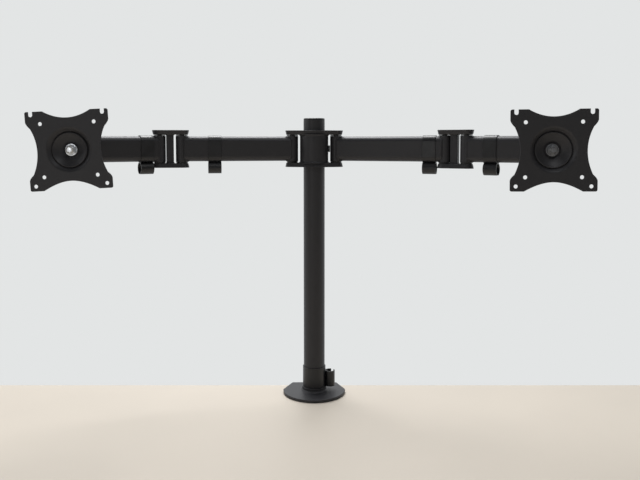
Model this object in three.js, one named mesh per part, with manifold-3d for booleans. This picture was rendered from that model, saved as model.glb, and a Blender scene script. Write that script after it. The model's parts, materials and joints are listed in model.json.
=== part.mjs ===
// Dual monitor arm for a desk: a clamped pole, a collar that slides and turns on it, and on each
// side two hinged tubes joined by an elbow link, ending in a ball-joint head and a monitor plate.
// Millimetres, +Z up. The origin is on the pole's axis, level with the desk top; the user sits at -Y.
import * as THREE from "three";
import { mergeVertices } from "three/addons/utils/BufferGeometryUtils.js";
import Module from "manifold-3d";

// Overall sizes
const POLE_TOP = 460;
const ARM_LEVEL = 410;
const ARM_1_LENGTH = 179;
const ARM_2_LENGTH = 116;
const LINK_LENGTH = 35;
const HEAD_REACH = 72;

// Clearances: GAP between pieces that touch, SLIP round a pin or a sliding tube
const GAP = 0.3;
const SLIP = 0.3;
const OVERCUT = 1;

// Facets round a full turn, by size of the round, and along a curved part of an outline
const FINE = 32;
const MEDIUM = 22;
const SMALL = 12;
const CURVE_STEPS = 3;
const CORNER_STEPS = 2;
const LOBE_STEPS = 6;
const BASE_STEPS = 12;
const KNOB_STEPS = 48;
const DOME_STEPS = 4;

// Pole, base and desk clamp
const POLE_R = 17.5;
const POLE_WALL = 2;
const CAP_T = 2.4;
const CAP_GRIP = 12;
const CAP_LEAD = 3;
const CAP_CROWN = 0.9;
const PAD_T = 1;
const PAD_INSET = 0.6;
const BASE_T = 4;
const BASE_R = 52;
const BASE_BACK = 33;
const BASE_BACK_WIDTH = 76;
const SOCKET_WALL = 2.4;
const SOCKET_HEIGHT = 6.5;
const PLUG_HEIGHT = 16;
const POLE_BOLT_R = 4;
const POLE_BOLT_SHORT = 3;
const FLANGE_DROP = 46;
const CLAMP_WIDTH = 60;
const CLAMP_T = 5;
const CLAMP_TOP = -12;
const CLAMP_BOTTOM = -108;
const CLAMP_BOLT_SPACING = 36;
const CLAMP_BOLT_R = 3;
const CLAMP_BOLT_LEVEL = -29;
const CLAMP_BOLT_AF = 10;
const CLAMP_BOLT_HEAD = 4.2;
const CLAMP_CORNER = 10;
const CLAMP_TIP = 4;
const CLAMP_PAD_TOP = -10;
const CLAMP_PAD_R = 22;
const CLAMP_PAD_T = 4;
const CLAMP_SCREW_R = 5;
const CLAMP_NECK_R = 3.5;
const CLAMP_HUB = 7;
const CLAMP_HUB_WALL = 3;
const CLAMP_BOSS = 8;
const CLAMP_BOSS_WALL = 5;
const KNOB_FREE = 1;
const KNOB_R = 17;
const KNOB_HEIGHT = 20;
const KNOB_COLLAR = 5;
const KNOB_COLLAR_WALL = 4;
const KNOB_LOBES = 6;
const KNOB_WAVE = 1.6;
const KNOB_FLOOR = 4;

// Hinges: every pivot has the same pin, barrel, washers and pair of flanges
const FLANGE_T = 7;
const BARREL_PROUD = 0.9;
const LOBE_R = 11.5;
const BARREL_R = 9.6;
const PIN_R = 4;
const PIN_HEAD_R = 7.2;
const PIN_HEAD_CONE = 3.2;
const PIN_SOCKET_AF = 5;
const PIN_SOCKET_DEPTH = 3;
const WASHER_T = 1.5;
const WASHER_R = 9.2;

// Collar on the pole
const COLLAR_WALL = 4.3;
const SHOULDER_SLOT = 3;
const SLEEVE_T = 1;
const LOCK_SCREW_R = 3;
const LOCK_HEAD_R = 5.7;
const LOCK_HEAD_T = 2.4;
const LOCK_SOCKET_AF = 4;
const LOCK_SOCKET_DEPTH = 1.8;

// Arm tubes
const TUBE_HEIGHT = 40;
const TUBE_WIDTH = 20;
const TUBE_CORNER = 8.5;
const TUBE_WALL = 1.8;
const TUBE_START = 5;
const VENT_R = 2.5;
const LINK_WEB_CLEAR = 3.2;
const LINK_WEB_DEPTH = 12;

// Cable clips
const CLIP_LENGTH = 21;
const CLIP_WALL = 1.2;
const CLIP_RING_R = 10;
const CLIP_MOUTH = 5;
const CLIP_RING_WALL = 2;
// Free length of tube between each clip and the elbow's flanges
const CLIP_FROM_ELBOW = {
  left: { arm1: 30, arm2: 0.5 },
  right: { arm1: 1.5, arm2: 17.5 },
};
const POLE_CLIP_BAND = 34;
const POLE_CLIP_TURN = 50;
const POLE_RING_R = 8.3;
const POLE_RING_HEIGHT = 26;

// Ball-joint head and monitor plate
const EAR_T = 4;
const FORK_WALL_AT = 17;
const FORK_WIDTH = 24;
const NECK_R = 11;
const DISH_R = 40;
const DISH_RIM_R = 30.5;
const DISH_HOLE_ANGLE = 21;
const LINER_T = 1.2;
const CUP_T = 3.2;
const CUP_ANGLE = 32;
const LINER_ANGLE = 33;
const CUP_WASHER_T = 2.4;
const CUP_WASHER_ANGLE = 40;
const CUP_NECK_ANGLE = 4;
const NUT_SEAT_R = 9.4;
const NUT_AF = 13;
const NUT_T = 8;
const BOLT_HEAD_R = 8;
const BOLT_HEAD_T = 3.6;
const BOLT_PROUD = 1.6;
const CHAMFER = 1;
const PLATE_T = 2;
const PLATE_HALF_WIDTH = 58;
const PLATE_TOP = 55;
const PLATE_BOTTOM = -57;
const VESA_SMALL = 75;
const VESA_LARGE = 100;
const VESA_HOLE_R = 2.75;
const VESA_SLOT_EASE = 0.1;
const SLOT_FLOOR = 47.6;
const EDGE_FLAT = 15;
const EDGE_SOFT = 2.5;
const TOP_IN = 33.5;
const BOTTOM_IN = 39;
const NECK_IN = 6;
const NECK_DROP = 8.5;
const WAIST = 44.3;
const WAIST_HALF = 17;
const TOP_DIP = 45;

// Rest pose, degrees about +Z: world directions of each arm's pieces
const REST = {
  left: { arm1: 190.5, link: 189.6, arm2: 211.9, facing: 271.2, roll: 2.9 },
  right: { arm1: -19, link: -28.7, arm2: -31.7, facing: -96.4, roll: 0.5 },
};
const PLATE_LEAN = 1.2;

const wasm = await Module();
wasm.setup();

const rad = THREE.MathUtils.degToRad;

// Solids from three.js geometry
function solid(geometry) {
  const bare = geometry.index ? geometry.toNonIndexed() : geometry.clone();
  bare.deleteAttribute("normal");
  bare.deleteAttribute("uv");
  const merged = mergeVertices(bare, 1e-4);
  const mesh = new wasm.Mesh({
    numProp: 3,
    vertProperties: new Float32Array(merged.attributes.position.array),
    triVerts: new Uint32Array(merged.index.array),
  });
  return new wasm.Manifold(mesh);
}

function geometryOf(body) {
  const mesh = body.getMesh();
  const geometry = new THREE.BufferGeometry();
  geometry.setAttribute("position", new THREE.BufferAttribute(mesh.vertProperties, 3));
  geometry.setIndex(new THREE.BufferAttribute(mesh.triVerts, 1));
  return geometry;
}

// An upright extrusion of an outline from level z0 to z1
function slab(outline, z0, z1, curveSegments = CURVE_STEPS) {
  const geometry = new THREE.ExtrudeGeometry(outline, { depth: z1 - z0, bevelEnabled: false, curveSegments });
  return solid(geometry.translate(0, 0, z0));
}

function cylinder(radius, z0, z1, x = 0, y = 0, sides = MEDIUM) {
  const geometry = new THREE.CylinderGeometry(radius, radius, z1 - z0, sides);
  geometry.rotateX(Math.PI / 2);
  return solid(geometry.translate(x, y, (z0 + z1) / 2));
}

// A hole for a round of the given radius, wide enough that its facets keep SLIP all round
function widen(radius, sides) {
  return (radius + SLIP) / Math.cos(Math.PI / sides);
}

function hole(radius, z0, z1, x = 0, y = 0, sides = SMALL) {
  return cylinder(widen(radius, sides), z0, z1, x, y, sides);
}

function block(x0, x1, y0, y1, z0, z1) {
  const geometry = new THREE.BoxGeometry(x1 - x0, y1 - y0, z1 - z0);
  return solid(geometry.translate((x0 + x1) / 2, (y0 + y1) / 2, (z0 + z1) / 2));
}

// A turned shape about Z from [radius, height] pairs, listed upwards on the outside
function turned(profile, sides = MEDIUM) {
  const points = profile.map(([r, z]) => new THREE.Vector2(r, z));
  return solid(new THREE.LatheGeometry(points, sides).rotateX(Math.PI / 2));
}

// The same solid with its Z axis laid along +X
function alongX(body) {
  return body.rotate([0, 90, 0]);
}

// The same solid with its Z axis laid along +Y
function alongY(body) {
  return body.rotate([-90, 0, 0]);
}

// An upright extrusion stood on edge: its length along +X, its outline's X along +Y, its Y up
function stood(body) {
  return body.rotate([90, 0, 90]);
}

// Two circles wrapped by their common tangents: radius r0 at the origin and r1 at distance along +X
function wrappedShape(r0, r1, distance) {
  const lean = Math.acos((r0 - r1) / distance);
  const shape = new THREE.Shape();
  shape.absarc(0, 0, r0, lean, 2 * Math.PI - lean, false);
  shape.absarc(distance, 0, r1, -lean, lean, false);
  shape.closePath();
  return shape;
}

// A rectangle with rounded corners, centred on the origin
function roundedShape(width, height, corner) {
  const x = width / 2 - corner;
  const y = height / 2 - corner;
  const shape = new THREE.Shape();
  shape.absarc(x, y, corner, 0, Math.PI / 2, false);
  shape.absarc(-x, y, corner, Math.PI / 2, Math.PI, false);
  shape.absarc(-x, -y, corner, Math.PI, 1.5 * Math.PI, false);
  shape.absarc(x, -y, corner, 1.5 * Math.PI, 2 * Math.PI, false);
  shape.closePath();
  return shape;
}

function hexShape(acrossFlats) {
  const radius = acrossFlats / Math.sqrt(3);
  const shape = new THREE.Shape();
  for (let i = 0; i < 6; i += 1) {
    const angle = (i * Math.PI) / 3;
    shape.lineTo(radius * Math.cos(angle), radius * Math.sin(angle));
  }
  shape.closePath();
  return shape;
}

// Finishes
const finish = (color, roughness, metalness) => () =>
  new THREE.MeshStandardMaterial({ color, roughness, metalness });
const powderCoat = finish("#26272b", 0.55, 0.2);
const moulded = finish("#1b1c1f", 0.5, 0);
const nylon = finish("#2a2a2c", 0.45, 0);
const zinc = finish("#c9ccd2", 0.3, 1);
const foam = finish("#151516", 0.9, 0);

function addPart(parent, name, body, material) {
  const mesh = new THREE.Mesh(geometryOf(body), material());
  mesh.name = name;
  parent.add(mesh);
  return mesh;
}

// A turned frame nested in a parent
function frameAt(parent, x, y, z, degrees) {
  const group = new THREE.Group();
  group.position.set(x, y, z);
  group.rotation.z = rad(degrees);
  parent.add(group);
  return group;
}

// ---- Hinge pieces, centred on z = 0 at the pivot ----
const barrelHalf = TUBE_HEIGHT / 2 + BARREL_PROUD;
const flangeInner = barrelHalf + WASHER_T + 2 * GAP;
const flangeOuter = flangeInner + FLANGE_T;

// Room for a pin in the flanges: a straight bore and a countersink for its head
function pinCut(x, top = flangeOuter, bottom = -flangeOuter) {
  const sink = widen(PIN_HEAD_R, SMALL);
  const bore = widen(PIN_R, SMALL);
  const face = top - GAP;
  const cut = turned(
    [
      [0, bottom - OVERCUT],
      [bore, bottom - OVERCUT],
      [bore, face - PIN_HEAD_CONE - 3 * SLIP],
      [sink, face - GAP - 3 * SLIP],
      [sink, top + OVERCUT],
      [0, top + OVERCUT],
    ],
    SMALL,
  );
  return cut.translate([x, 0, 0]);
}

function hingePin(top = flangeOuter, bottom = -flangeOuter) {
  const face = top - GAP;
  const blank = turned(
    [
      [0, bottom + GAP],
      [PIN_R, bottom + GAP],
      [PIN_R, face - PIN_HEAD_CONE],
      [PIN_HEAD_R, face - GAP],
      [PIN_HEAD_R, face],
      [0, face],
    ],
    SMALL,
  );
  return blank.subtract(slab(hexShape(PIN_SOCKET_AF), face - PIN_SOCKET_DEPTH, face + OVERCUT));
}

function washer() {
  const body = cylinder(WASHER_R, 0, WASHER_T, 0, 0, SMALL);
  return body.subtract(hole(PIN_R, -OVERCUT, WASHER_T + OVERCUT, 0, 0, SMALL));
}

function addHinge(parent, x, pinName, washerName, material) {
  const at = frameAt(parent, x, 0, 0, 0);
  addPart(at, pinName, hingePin(), zinc);
  addPart(at, `${washerName}_upper`, washer(), material).position.z = barrelHalf + GAP;
  addPart(at, `${washerName}_lower`, washer(), material).position.z = -flangeInner + GAP;
}

// ---- Desk clamp and pole ----
function baseOutline(inset) {
  const back = BASE_BACK_WIDTH / 2 - inset;
  const shape = new THREE.Shape();
  shape.absarc(0, 0, BASE_R - inset, Math.PI, 2 * Math.PI, false);
  shape.lineTo(back, BASE_BACK - inset);
  shape.lineTo(-back, BASE_BACK - inset);
  shape.closePath();
  return shape;
}

const baseTop = PAD_T + BASE_T;
const poleFoot = baseTop + GAP;
const poleEnd = POLE_TOP - CAP_T;
const poleBore = POLE_R - POLE_WALL;
const flangeBack = BASE_BACK + BASE_T;

function basePlate() {
  const socketR = POLE_R + SLIP + SOCKET_WALL;
  const plate = slab(baseOutline(0), PAD_T, baseTop, BASE_STEPS)
    .add(block(-CLAMP_WIDTH / 2, CLAMP_WIDTH / 2, BASE_BACK - BASE_T, flangeBack, PAD_T, baseTop))
    .add(block(-CLAMP_WIDTH / 2, CLAMP_WIDTH / 2, BASE_BACK, flangeBack, -FLANGE_DROP, baseTop))
    .add(cylinder(socketR, PAD_T, baseTop + SOCKET_HEIGHT, 0, 0, FINE));
  let cut = plate
    .subtract(hole(POLE_R, baseTop, baseTop + SOCKET_HEIGHT + OVERCUT, 0, 0, FINE))
    .subtract(poleBoltShape(SLIP));
  for (const side of [-1, 1]) {
    const bore = hole(CLAMP_BOLT_R, BASE_BACK - OVERCUT, flangeBack + OVERCUT, 0, 0, SMALL);
    cut = cut.subtract(alongY(bore).translate([(side * CLAMP_BOLT_SPACING) / 2, 0, CLAMP_BOLT_LEVEL]));
  }
  return cut;
}

// The countersunk bolt that holds the pole, or with grow the room it needs
function poleBoltShape(grow) {
  const headR = 2 * POLE_BOLT_R + grow;
  const shank = POLE_BOLT_R + grow;
  const base = PAD_T + GAP - grow;
  const tip = poleFoot + PLUG_HEIGHT - POLE_BOLT_SHORT + grow;
  return turned(
    [
      [0, base],
      [headR, base],
      [shank, base + POLE_BOLT_R],
      [shank, tip],
      [0, tip],
    ],
    SMALL,
  );
}

function pole() {
  const tube = cylinder(POLE_R, poleFoot, poleEnd - GAP, 0, 0, FINE);
  return tube.subtract(cylinder(poleBore, poleFoot - OVERCUT, poleEnd + OVERCUT, 0, 0, FINE));
}

function polePlug() {
  const plug = cylinder(poleBore - SLIP, poleFoot, poleFoot + PLUG_HEIGHT, 0, 0, FINE);
  return plug.subtract(poleBoltShape(SLIP));
}

function poleCap() {
  const grip = poleBore - SLIP;
  const foot = poleEnd - CAP_GRIP;
  return turned(
    [
      [0, foot],
      [grip - CAP_LEAD / 2, foot],
      [grip, foot + CAP_LEAD],
      [grip, poleEnd],
      [POLE_R, poleEnd],
      [POLE_R, POLE_TOP - CAP_CROWN],
      [POLE_R - 2 * CAP_CROWN, POLE_TOP],
      [0, POLE_TOP],
    ],
    FINE,
  );
}

function clampBracket() {
  const front = -CLAMP_PAD_R - CLAMP_TIP;
  const inner = flangeBack + GAP;
  const outer = inner + CLAMP_T;
  const half = CLAMP_WIDTH / 2;
  const floor = CLAMP_BOTTOM + CLAMP_T;
  const boss = CLAMP_BOTTOM - CLAMP_BOSS;
  const cut = CLAMP_CORNER / Math.SQRT2;
  let bracket = block(-half, half, inner, outer, CLAMP_BOTTOM, CLAMP_TOP)
    .add(block(-half, half, front, outer, CLAMP_BOTTOM, floor))
    .add(cylinder(CLAMP_SCREW_R + CLAMP_BOSS_WALL, boss, CLAMP_BOTTOM + OVERCUT, 0, 0, MEDIUM))
    .subtract(hole(CLAMP_SCREW_R, boss - OVERCUT, floor + OVERCUT, 0, 0, SMALL));
  for (const side of [-1, 1]) {
    // A square on its corner takes the lip's corner off at 45 degrees
    const corner = block(-cut, cut, -cut, cut, CLAMP_BOTTOM - OVERCUT, floor + OVERCUT)
      .rotate([0, 0, 45])
      .translate([side * half, front, 0]);
    const bore = alongY(hole(CLAMP_BOLT_R, inner - OVERCUT, outer + OVERCUT, 0, 0, SMALL));
    bracket = bracket
      .subtract(corner)
      .subtract(bore.translate([(side * CLAMP_BOLT_SPACING) / 2, 0, CLAMP_BOLT_LEVEL]));
  }
  return bracket;
}

function clampBolt() {
  const seat = flangeBack + GAP + CLAMP_T + GAP;
  const shank = cylinder(CLAMP_BOLT_R, BASE_BACK + GAP, seat + OVERCUT, 0, 0, SMALL);
  const head = slab(hexShape(CLAMP_BOLT_AF), seat, seat + CLAMP_BOLT_HEAD);
  return alongY(shank.add(head));
}

const padBottom = CLAMP_PAD_TOP - CLAMP_PAD_T;
const knobTop = CLAMP_BOTTOM - CLAMP_BOSS - KNOB_FREE;
const knobShoulder = knobTop - KNOB_COLLAR;
const knobBottom = knobShoulder - KNOB_HEIGHT;
const screwEnd = knobBottom + KNOB_FLOOR;

function clampPad() {
  const seat = CLAMP_NECK_R + SLIP;
  const hub = CLAMP_SCREW_R + CLAMP_HUB_WALL;
  return turned(
    [
      [0, padBottom],
      [seat, padBottom],
      [seat, padBottom - CLAMP_HUB],
      [hub, padBottom - CLAMP_HUB],
      [hub + CHAMFER, padBottom],
      [CLAMP_PAD_R, padBottom],
      [CLAMP_PAD_R, CLAMP_PAD_TOP],
      [0, CLAMP_PAD_TOP],
    ],
    FINE,
  );
}

function clampScrew() {
  return turned(
    [
      [0, screwEnd],
      [CLAMP_SCREW_R - CHAMFER, screwEnd],
      [CLAMP_SCREW_R, screwEnd + CHAMFER],
      [CLAMP_SCREW_R, padBottom - CLAMP_HUB - CHAMFER],
      [CLAMP_NECK_R, padBottom - CLAMP_HUB],
      [CLAMP_NECK_R, padBottom - GAP],
      [0, padBottom - GAP],
    ],
    SMALL,
  );
}

function clampKnob() {
  const shape = new THREE.Shape();
  for (let i = 0; i < KNOB_STEPS; i += 1) {
    const angle = (i * 2 * Math.PI) / KNOB_STEPS;
    const r = KNOB_R - KNOB_WAVE * (1 - Math.cos(KNOB_LOBES * angle));
    shape.lineTo(r * Math.cos(angle), r * Math.sin(angle));
  }
  shape.closePath();
  return slab(shape, knobBottom, knobShoulder)
    .add(cylinder(CLAMP_SCREW_R + KNOB_COLLAR_WALL, knobShoulder - OVERCUT, knobTop, 0, 0, SMALL))
    .subtract(hole(CLAMP_SCREW_R, screwEnd - GAP, knobTop + OVERCUT, 0, 0, SMALL));
}

// A band that wraps the pole above the base's socket, with a slit cable ring beside it
function poleClip() {
  const inner = POLE_R + SLIP;
  const outer = inner + CLIP_WALL;
  const low = baseTop + SOCKET_HEIGHT + GAP;
  const bandTop = low + POLE_CLIP_BAND;
  const ringTop = low + POLE_RING_HEIGHT;
  const ringX = outer + POLE_RING_R - CLIP_RING_WALL / 2;
  const half = CLIP_MOUTH / 2;
  const ring = cylinder(POLE_RING_R, low, ringTop, 0, 0, MEDIUM);
  const bore = cylinder(POLE_RING_R - CLIP_RING_WALL, low - OVERCUT, ringTop + OVERCUT, 0, 0, MEDIUM);
  const mouth = block(0, 2 * POLE_RING_R, -half, half, low - OVERCUT, ringTop + OVERCUT);
  return ring
    .subtract(mouth.rotate([0, 0, POLE_CLIP_TURN]))
    .translate([ringX, 0, 0])
    .add(cylinder(outer, low, bandTop, 0, 0, FINE))
    .subtract(bore.translate([ringX, 0, 0]))
    .subtract(hole(POLE_R, low - OVERCUT, bandTop + OVERCUT, 0, 0, FINE));
}

function addStand(parent) {
  addPart(parent, "base_pad", slab(baseOutline(PAD_INSET), 0, PAD_T, BASE_STEPS), foam);
  addPart(parent, "base_plate", basePlate(), powderCoat);
  addPart(parent, "pole", pole(), powderCoat);
  addPart(parent, "pole_plug", polePlug(), zinc);
  addPart(parent, "pole_bolt", poleBoltShape(0), zinc);
  addPart(parent, "pole_cap", poleCap(), moulded);
  addPart(parent, "pole_clip", poleClip(), moulded);
  addPart(parent, "clamp_bracket", clampBracket(), powderCoat);
  for (const [side, name] of [[-1, "clamp_bolt_left"], [1, "clamp_bolt_right"]]) {
    const bolt = addPart(parent, name, clampBolt(), zinc);
    bolt.position.set((side * CLAMP_BOLT_SPACING) / 2, 0, CLAMP_BOLT_LEVEL);
  }
  addPart(parent, "clamp_pad", clampPad(), moulded);
  addPart(parent, "clamp_screw", clampScrew(), zinc);
  addPart(parent, "clamp_knob", clampKnob(), moulded);
}

// ---- Collar on the pole ----
const sleeveR = POLE_R + SLIP + SLEEVE_T;
const collarR = sleeveR + SLIP + COLLAR_WALL;
const shoulderAt = collarR + SHOULDER_SLOT + BARREL_R;

function centreBracket() {
  const flange = (z0) => {
    const lobe = slab(wrappedShape(collarR, LOBE_R, shoulderAt), z0, z0 + FLANGE_T, LOBE_STEPS);
    return lobe.add(lobe.rotate([0, 0, 180]));
  };
  const lockBore = alongX(hole(LOCK_SCREW_R, sleeveR, collarR + OVERCUT, 0, 0, SMALL));
  return cylinder(collarR, -flangeOuter, flangeOuter, 0, 0, FINE)
    .add(flange(flangeInner))
    .add(flange(-flangeOuter))
    .subtract(hole(sleeveR, -flangeOuter - OVERCUT, flangeOuter + OVERCUT, 0, 0, FINE))
    .subtract(pinCut(shoulderAt))
    .subtract(pinCut(-shoulderAt))
    .subtract(lockBore);
}

function collarSleeve() {
  const tube = cylinder(sleeveR, -flangeOuter, flangeOuter, 0, 0, FINE);
  return tube.subtract(hole(POLE_R, -flangeOuter - OVERCUT, flangeOuter + OVERCUT, 0, 0, FINE));
}

function lockScrew() {
  const tip = sleeveR + GAP;
  const face = collarR + GAP + LOCK_HEAD_T;
  const screw = turned(
    [
      [0, tip],
      [LOCK_SCREW_R, tip],
      [LOCK_SCREW_R, collarR + GAP],
      [LOCK_HEAD_R, collarR + GAP],
      [LOCK_HEAD_R, face - CHAMFER],
      [LOCK_HEAD_R - CHAMFER, face],
      [0, face],
    ],
    SMALL,
  );
  return alongX(screw.subtract(slab(hexShape(LOCK_SOCKET_AF), face - LOCK_SOCKET_DEPTH, face + OVERCUT)));
}

// ---- Arms, links and clips ----
function armTube(length) {
  const outer = roundedShape(TUBE_WIDTH, TUBE_HEIGHT, TUBE_CORNER);
  const wide = TUBE_WIDTH - 2 * TUBE_WALL;
  const inner = roundedShape(wide, TUBE_HEIGHT - 2 * TUBE_WALL, TUBE_CORNER - TUBE_WALL);
  const tube = stood(slab(outer, TUBE_START, length - TUBE_START, CORNER_STEPS));
  const hollow = stood(slab(inner, 0, length, CORNER_STEPS));
  let arm = tube.subtract(hollow);
  for (const x of [0, length]) {
    arm = arm.add(cylinder(BARREL_R, -barrelHalf, barrelHalf, x, 0, MEDIUM));
  }
  for (const x of [0, length]) {
    arm = arm.subtract(hole(PIN_R, -barrelHalf - OVERCUT, barrelHalf + OVERCUT, x, 0, SMALL));
  }
  return arm.subtract(cylinder(VENT_R, -TUBE_HEIGHT, 0, BARREL_R + 3 * VENT_R, 0, SMALL));
}

// Two flanges joined by a web. The web stands just clear of the tube that swings past it, near the
// inner pivot or near the outer one
function elbowLink(webAtOuter) {
  const outline = wrappedShape(LOBE_R, LOBE_R, LINK_LENGTH);
  const near = Math.max(TUBE_WIDTH / 2, BARREL_R) + 2 * GAP;
  const width = LINK_LENGTH - BARREL_R - LINK_WEB_CLEAR - near;
  const start = webAtOuter ? LINK_LENGTH - near - width : near;
  const half = LINK_WEB_DEPTH / 2;
  const reach = flangeInner + OVERCUT;
  return slab(outline, flangeInner, flangeOuter, LOBE_STEPS)
    .add(slab(outline, -flangeOuter, -flangeInner, LOBE_STEPS))
    .add(block(start, start + width, -half, half, -reach, reach))
    .subtract(pinCut(0))
    .subtract(pinCut(LINK_LENGTH));
}

// A snap-on band round the tube with a slit cable ring under it
function armClip() {
  const half = CLIP_LENGTH / 2;
  const innerCorner = TUBE_CORNER + SLIP;
  const inner = roundedShape(TUBE_WIDTH + 2 * SLIP, TUBE_HEIGHT + 2 * SLIP, innerCorner);
  const grow = 2 * (SLIP + CLIP_WALL);
  const outer = roundedShape(TUBE_WIDTH + grow, TUBE_HEIGHT + grow, innerCorner + CLIP_WALL);
  const ringZ = -TUBE_HEIGHT / 2 - SLIP - CLIP_RING_R;
  const lip = CLIP_MOUTH / 2;
  const slit = block(-half - OVERCUT, half + OVERCUT, -lip, lip, ringZ - 2 * CLIP_RING_R, ringZ);
  const boreR = CLIP_RING_R - CLIP_RING_WALL;
  const ring = alongX(cylinder(CLIP_RING_R, -half, half, 0, 0, MEDIUM)).translate([0, 0, ringZ]);
  const bore = alongX(cylinder(boreR, -half - OVERCUT, half + OVERCUT, 0, 0, MEDIUM));
  return stood(slab(outer, -half, half, CORNER_STEPS))
    .add(ring.subtract(slit))
    .subtract(bore.translate([0, 0, ringZ]))
    .subtract(stood(slab(inner, -half - OVERCUT, half + OVERCUT, CORNER_STEPS)));
}

// ---- Head: +X is the way the plate faces, the origin is on the pan pivot ----
const dishDepth = DISH_R - Math.sqrt(DISH_R ** 2 - DISH_RIM_R ** 2);
const ballAt = HEAD_REACH - dishDepth + DISH_R;
const dishBack = DISH_R + PLATE_T;
const linerFront = dishBack + GAP;
const cupFront = linerFront + LINER_T + GAP;
const cupBack = cupFront + CUP_T;
const washerFront = DISH_R - GAP;

// [radius, height] points of an arc about the origin, by angles in radians from straight down
function arcProfile(radius, from, to) {
  const angles = Array.from({ length: DOME_STEPS + 1 }, (_, i) => from + ((to - from) * i) / DOME_STEPS);
  return angles.map((a) => [radius * Math.sin(a), -radius * Math.cos(a)]);
}

// Part of a spherical shell about the ball's centre, between two angles from the axis pointing back
function bowl(inner, outer, from, to) {
  const back = arcProfile(outer, rad(from), rad(to));
  const front = arcProfile(inner, rad(from), rad(to)).reverse();
  const profile = [...back, ...front, back[0]];
  return alongX(turned(profile, MEDIUM)).translate([ballAt, 0, 0]);
}

function headBracket() {
  const wall = FORK_WALL_AT + EAR_T;
  const ear = new THREE.Shape();
  ear.absarc(0, 0, FORK_WIDTH / 2, Math.PI / 2, 1.5 * Math.PI, false);
  ear.lineTo(wall, -FORK_WIDTH / 2);
  ear.lineTo(wall, FORK_WIDTH / 2);
  ear.closePath();
  const top = flangeInner + EAR_T;
  const cupAt = ballAt - cupBack;
  const neck = alongX(cylinder(NECK_R, FORK_WALL_AT + OVERCUT, cupAt + CUP_T / 2, 0, 0, MEDIUM));
  const bore = alongX(hole(PIN_R, FORK_WALL_AT - OVERCUT, ballAt, 0, 0, SMALL));
  return slab(ear, flangeInner, top, LOBE_STEPS)
    .add(slab(ear, -top, -flangeInner, LOBE_STEPS))
    .add(block(FORK_WALL_AT, wall, -FORK_WIDTH / 2, FORK_WIDTH / 2, -top, top))
    .add(neck)
    .add(bowl(cupFront, cupBack, CUP_NECK_ANGLE, CUP_ANGLE))
    .subtract(bore)
    .subtract(pinCut(0, top, -top));
}

function headBolt() {
  const seat = FORK_WALL_AT - GAP;
  const tip = ballAt - washerFront + CUP_WASHER_T + GAP + NUT_T + BOLT_PROUD;
  return alongX(
    turned(
      [
        [0, seat - BOLT_HEAD_T],
        [BOLT_HEAD_R - 2 * CHAMFER, seat - BOLT_HEAD_T],
        [BOLT_HEAD_R, seat - CHAMFER],
        [BOLT_HEAD_R, seat],
        [PIN_R, seat],
        [PIN_R, tip - CHAMFER],
        [PIN_R - CHAMFER, tip],
        [0, tip],
      ],
      SMALL,
    ),
  );
}

// Domed washer: its back follows the dish, its front has a flat seat for the nut
function cupWasher() {
  const floor = -washerFront + CUP_WASHER_T;
  const inner = washerFront - CUP_WASHER_T;
  const rim = rad(CUP_WASHER_ANGLE);
  const back = arcProfile(washerFront, 0, rim);
  const front = arcProfile(inner, Math.asin(NUT_SEAT_R / inner), rim).reverse();
  const blank = turned([...back, ...front, [NUT_SEAT_R, floor], [0, floor]], MEDIUM);
  const bored = blank.subtract(hole(PIN_R, -DISH_R - OVERCUT, 0, 0, 0, SMALL));
  return alongX(bored).translate([ballAt, 0, 0]);
}

function headNut() {
  const seat = ballAt - washerFront + CUP_WASHER_T + GAP;
  const nut = slab(hexShape(NUT_AF), seat, seat + NUT_T);
  return alongX(nut.subtract(hole(PIN_R, seat - OVERCUT, seat + NUT_T + OVERCUT, 0, 0, SMALL)));
}

// Right half of the plate's outline, from the middle of the top to the middle of the bottom, as
// [x, y] points: +X to the viewer's right, +Y up
function plateSide() {
  const w = PLATE_HALF_WIDTH;
  const slotX = VESA_LARGE / 2;
  const slotR = VESA_HOLE_R + VESA_SLOT_EASE;
  const upper = PLATE_TOP - EDGE_FLAT;
  const lower = PLATE_BOTTOM + EDGE_FLAT;
  const side = new THREE.Path();
  side.moveTo(0, TOP_DIP);
  side.quadraticCurveTo(TOP_IN / 2, TOP_DIP, TOP_IN, PLATE_TOP);
  side.lineTo(slotX - slotR, PLATE_TOP);
  side.lineTo(slotX - slotR, SLOT_FLOOR + slotR);
  side.absarc(slotX, SLOT_FLOOR + slotR, slotR, Math.PI, 2 * Math.PI, false);
  side.lineTo(slotX + slotR, PLATE_TOP);
  side.absarc(w - EDGE_SOFT, PLATE_TOP - EDGE_SOFT, EDGE_SOFT, Math.PI / 2, 0, true);
  side.lineTo(w, upper);
  side.quadraticCurveTo(w - NECK_IN / 6, upper - NECK_DROP / 2, w - NECK_IN, upper - NECK_DROP);
  side.quadraticCurveTo(WAIST, WAIST_HALF, WAIST, 0);
  side.quadraticCurveTo(WAIST, -WAIST_HALF, w - NECK_IN, lower + NECK_DROP);
  side.quadraticCurveTo(w - NECK_IN / 6, lower + NECK_DROP / 2, w, lower);
  side.absarc(w - EDGE_SOFT, PLATE_BOTTOM + EDGE_SOFT, EDGE_SOFT, 0, -Math.PI / 2, true);
  side.lineTo(BOTTOM_IN, PLATE_BOTTOM);
  side.quadraticCurveTo(BOTTOM_IN / 2, -WAIST, 0, -WAIST);
  return side.getPoints(CURVE_STEPS);
}

function plateOutline() {
  const right = plateSide();
  const left = right.slice(1, -1).reverse();
  return new THREE.Shape([...right, ...left.map(({ x, y }) => new THREE.Vector2(-x, y))]);
}

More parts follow.
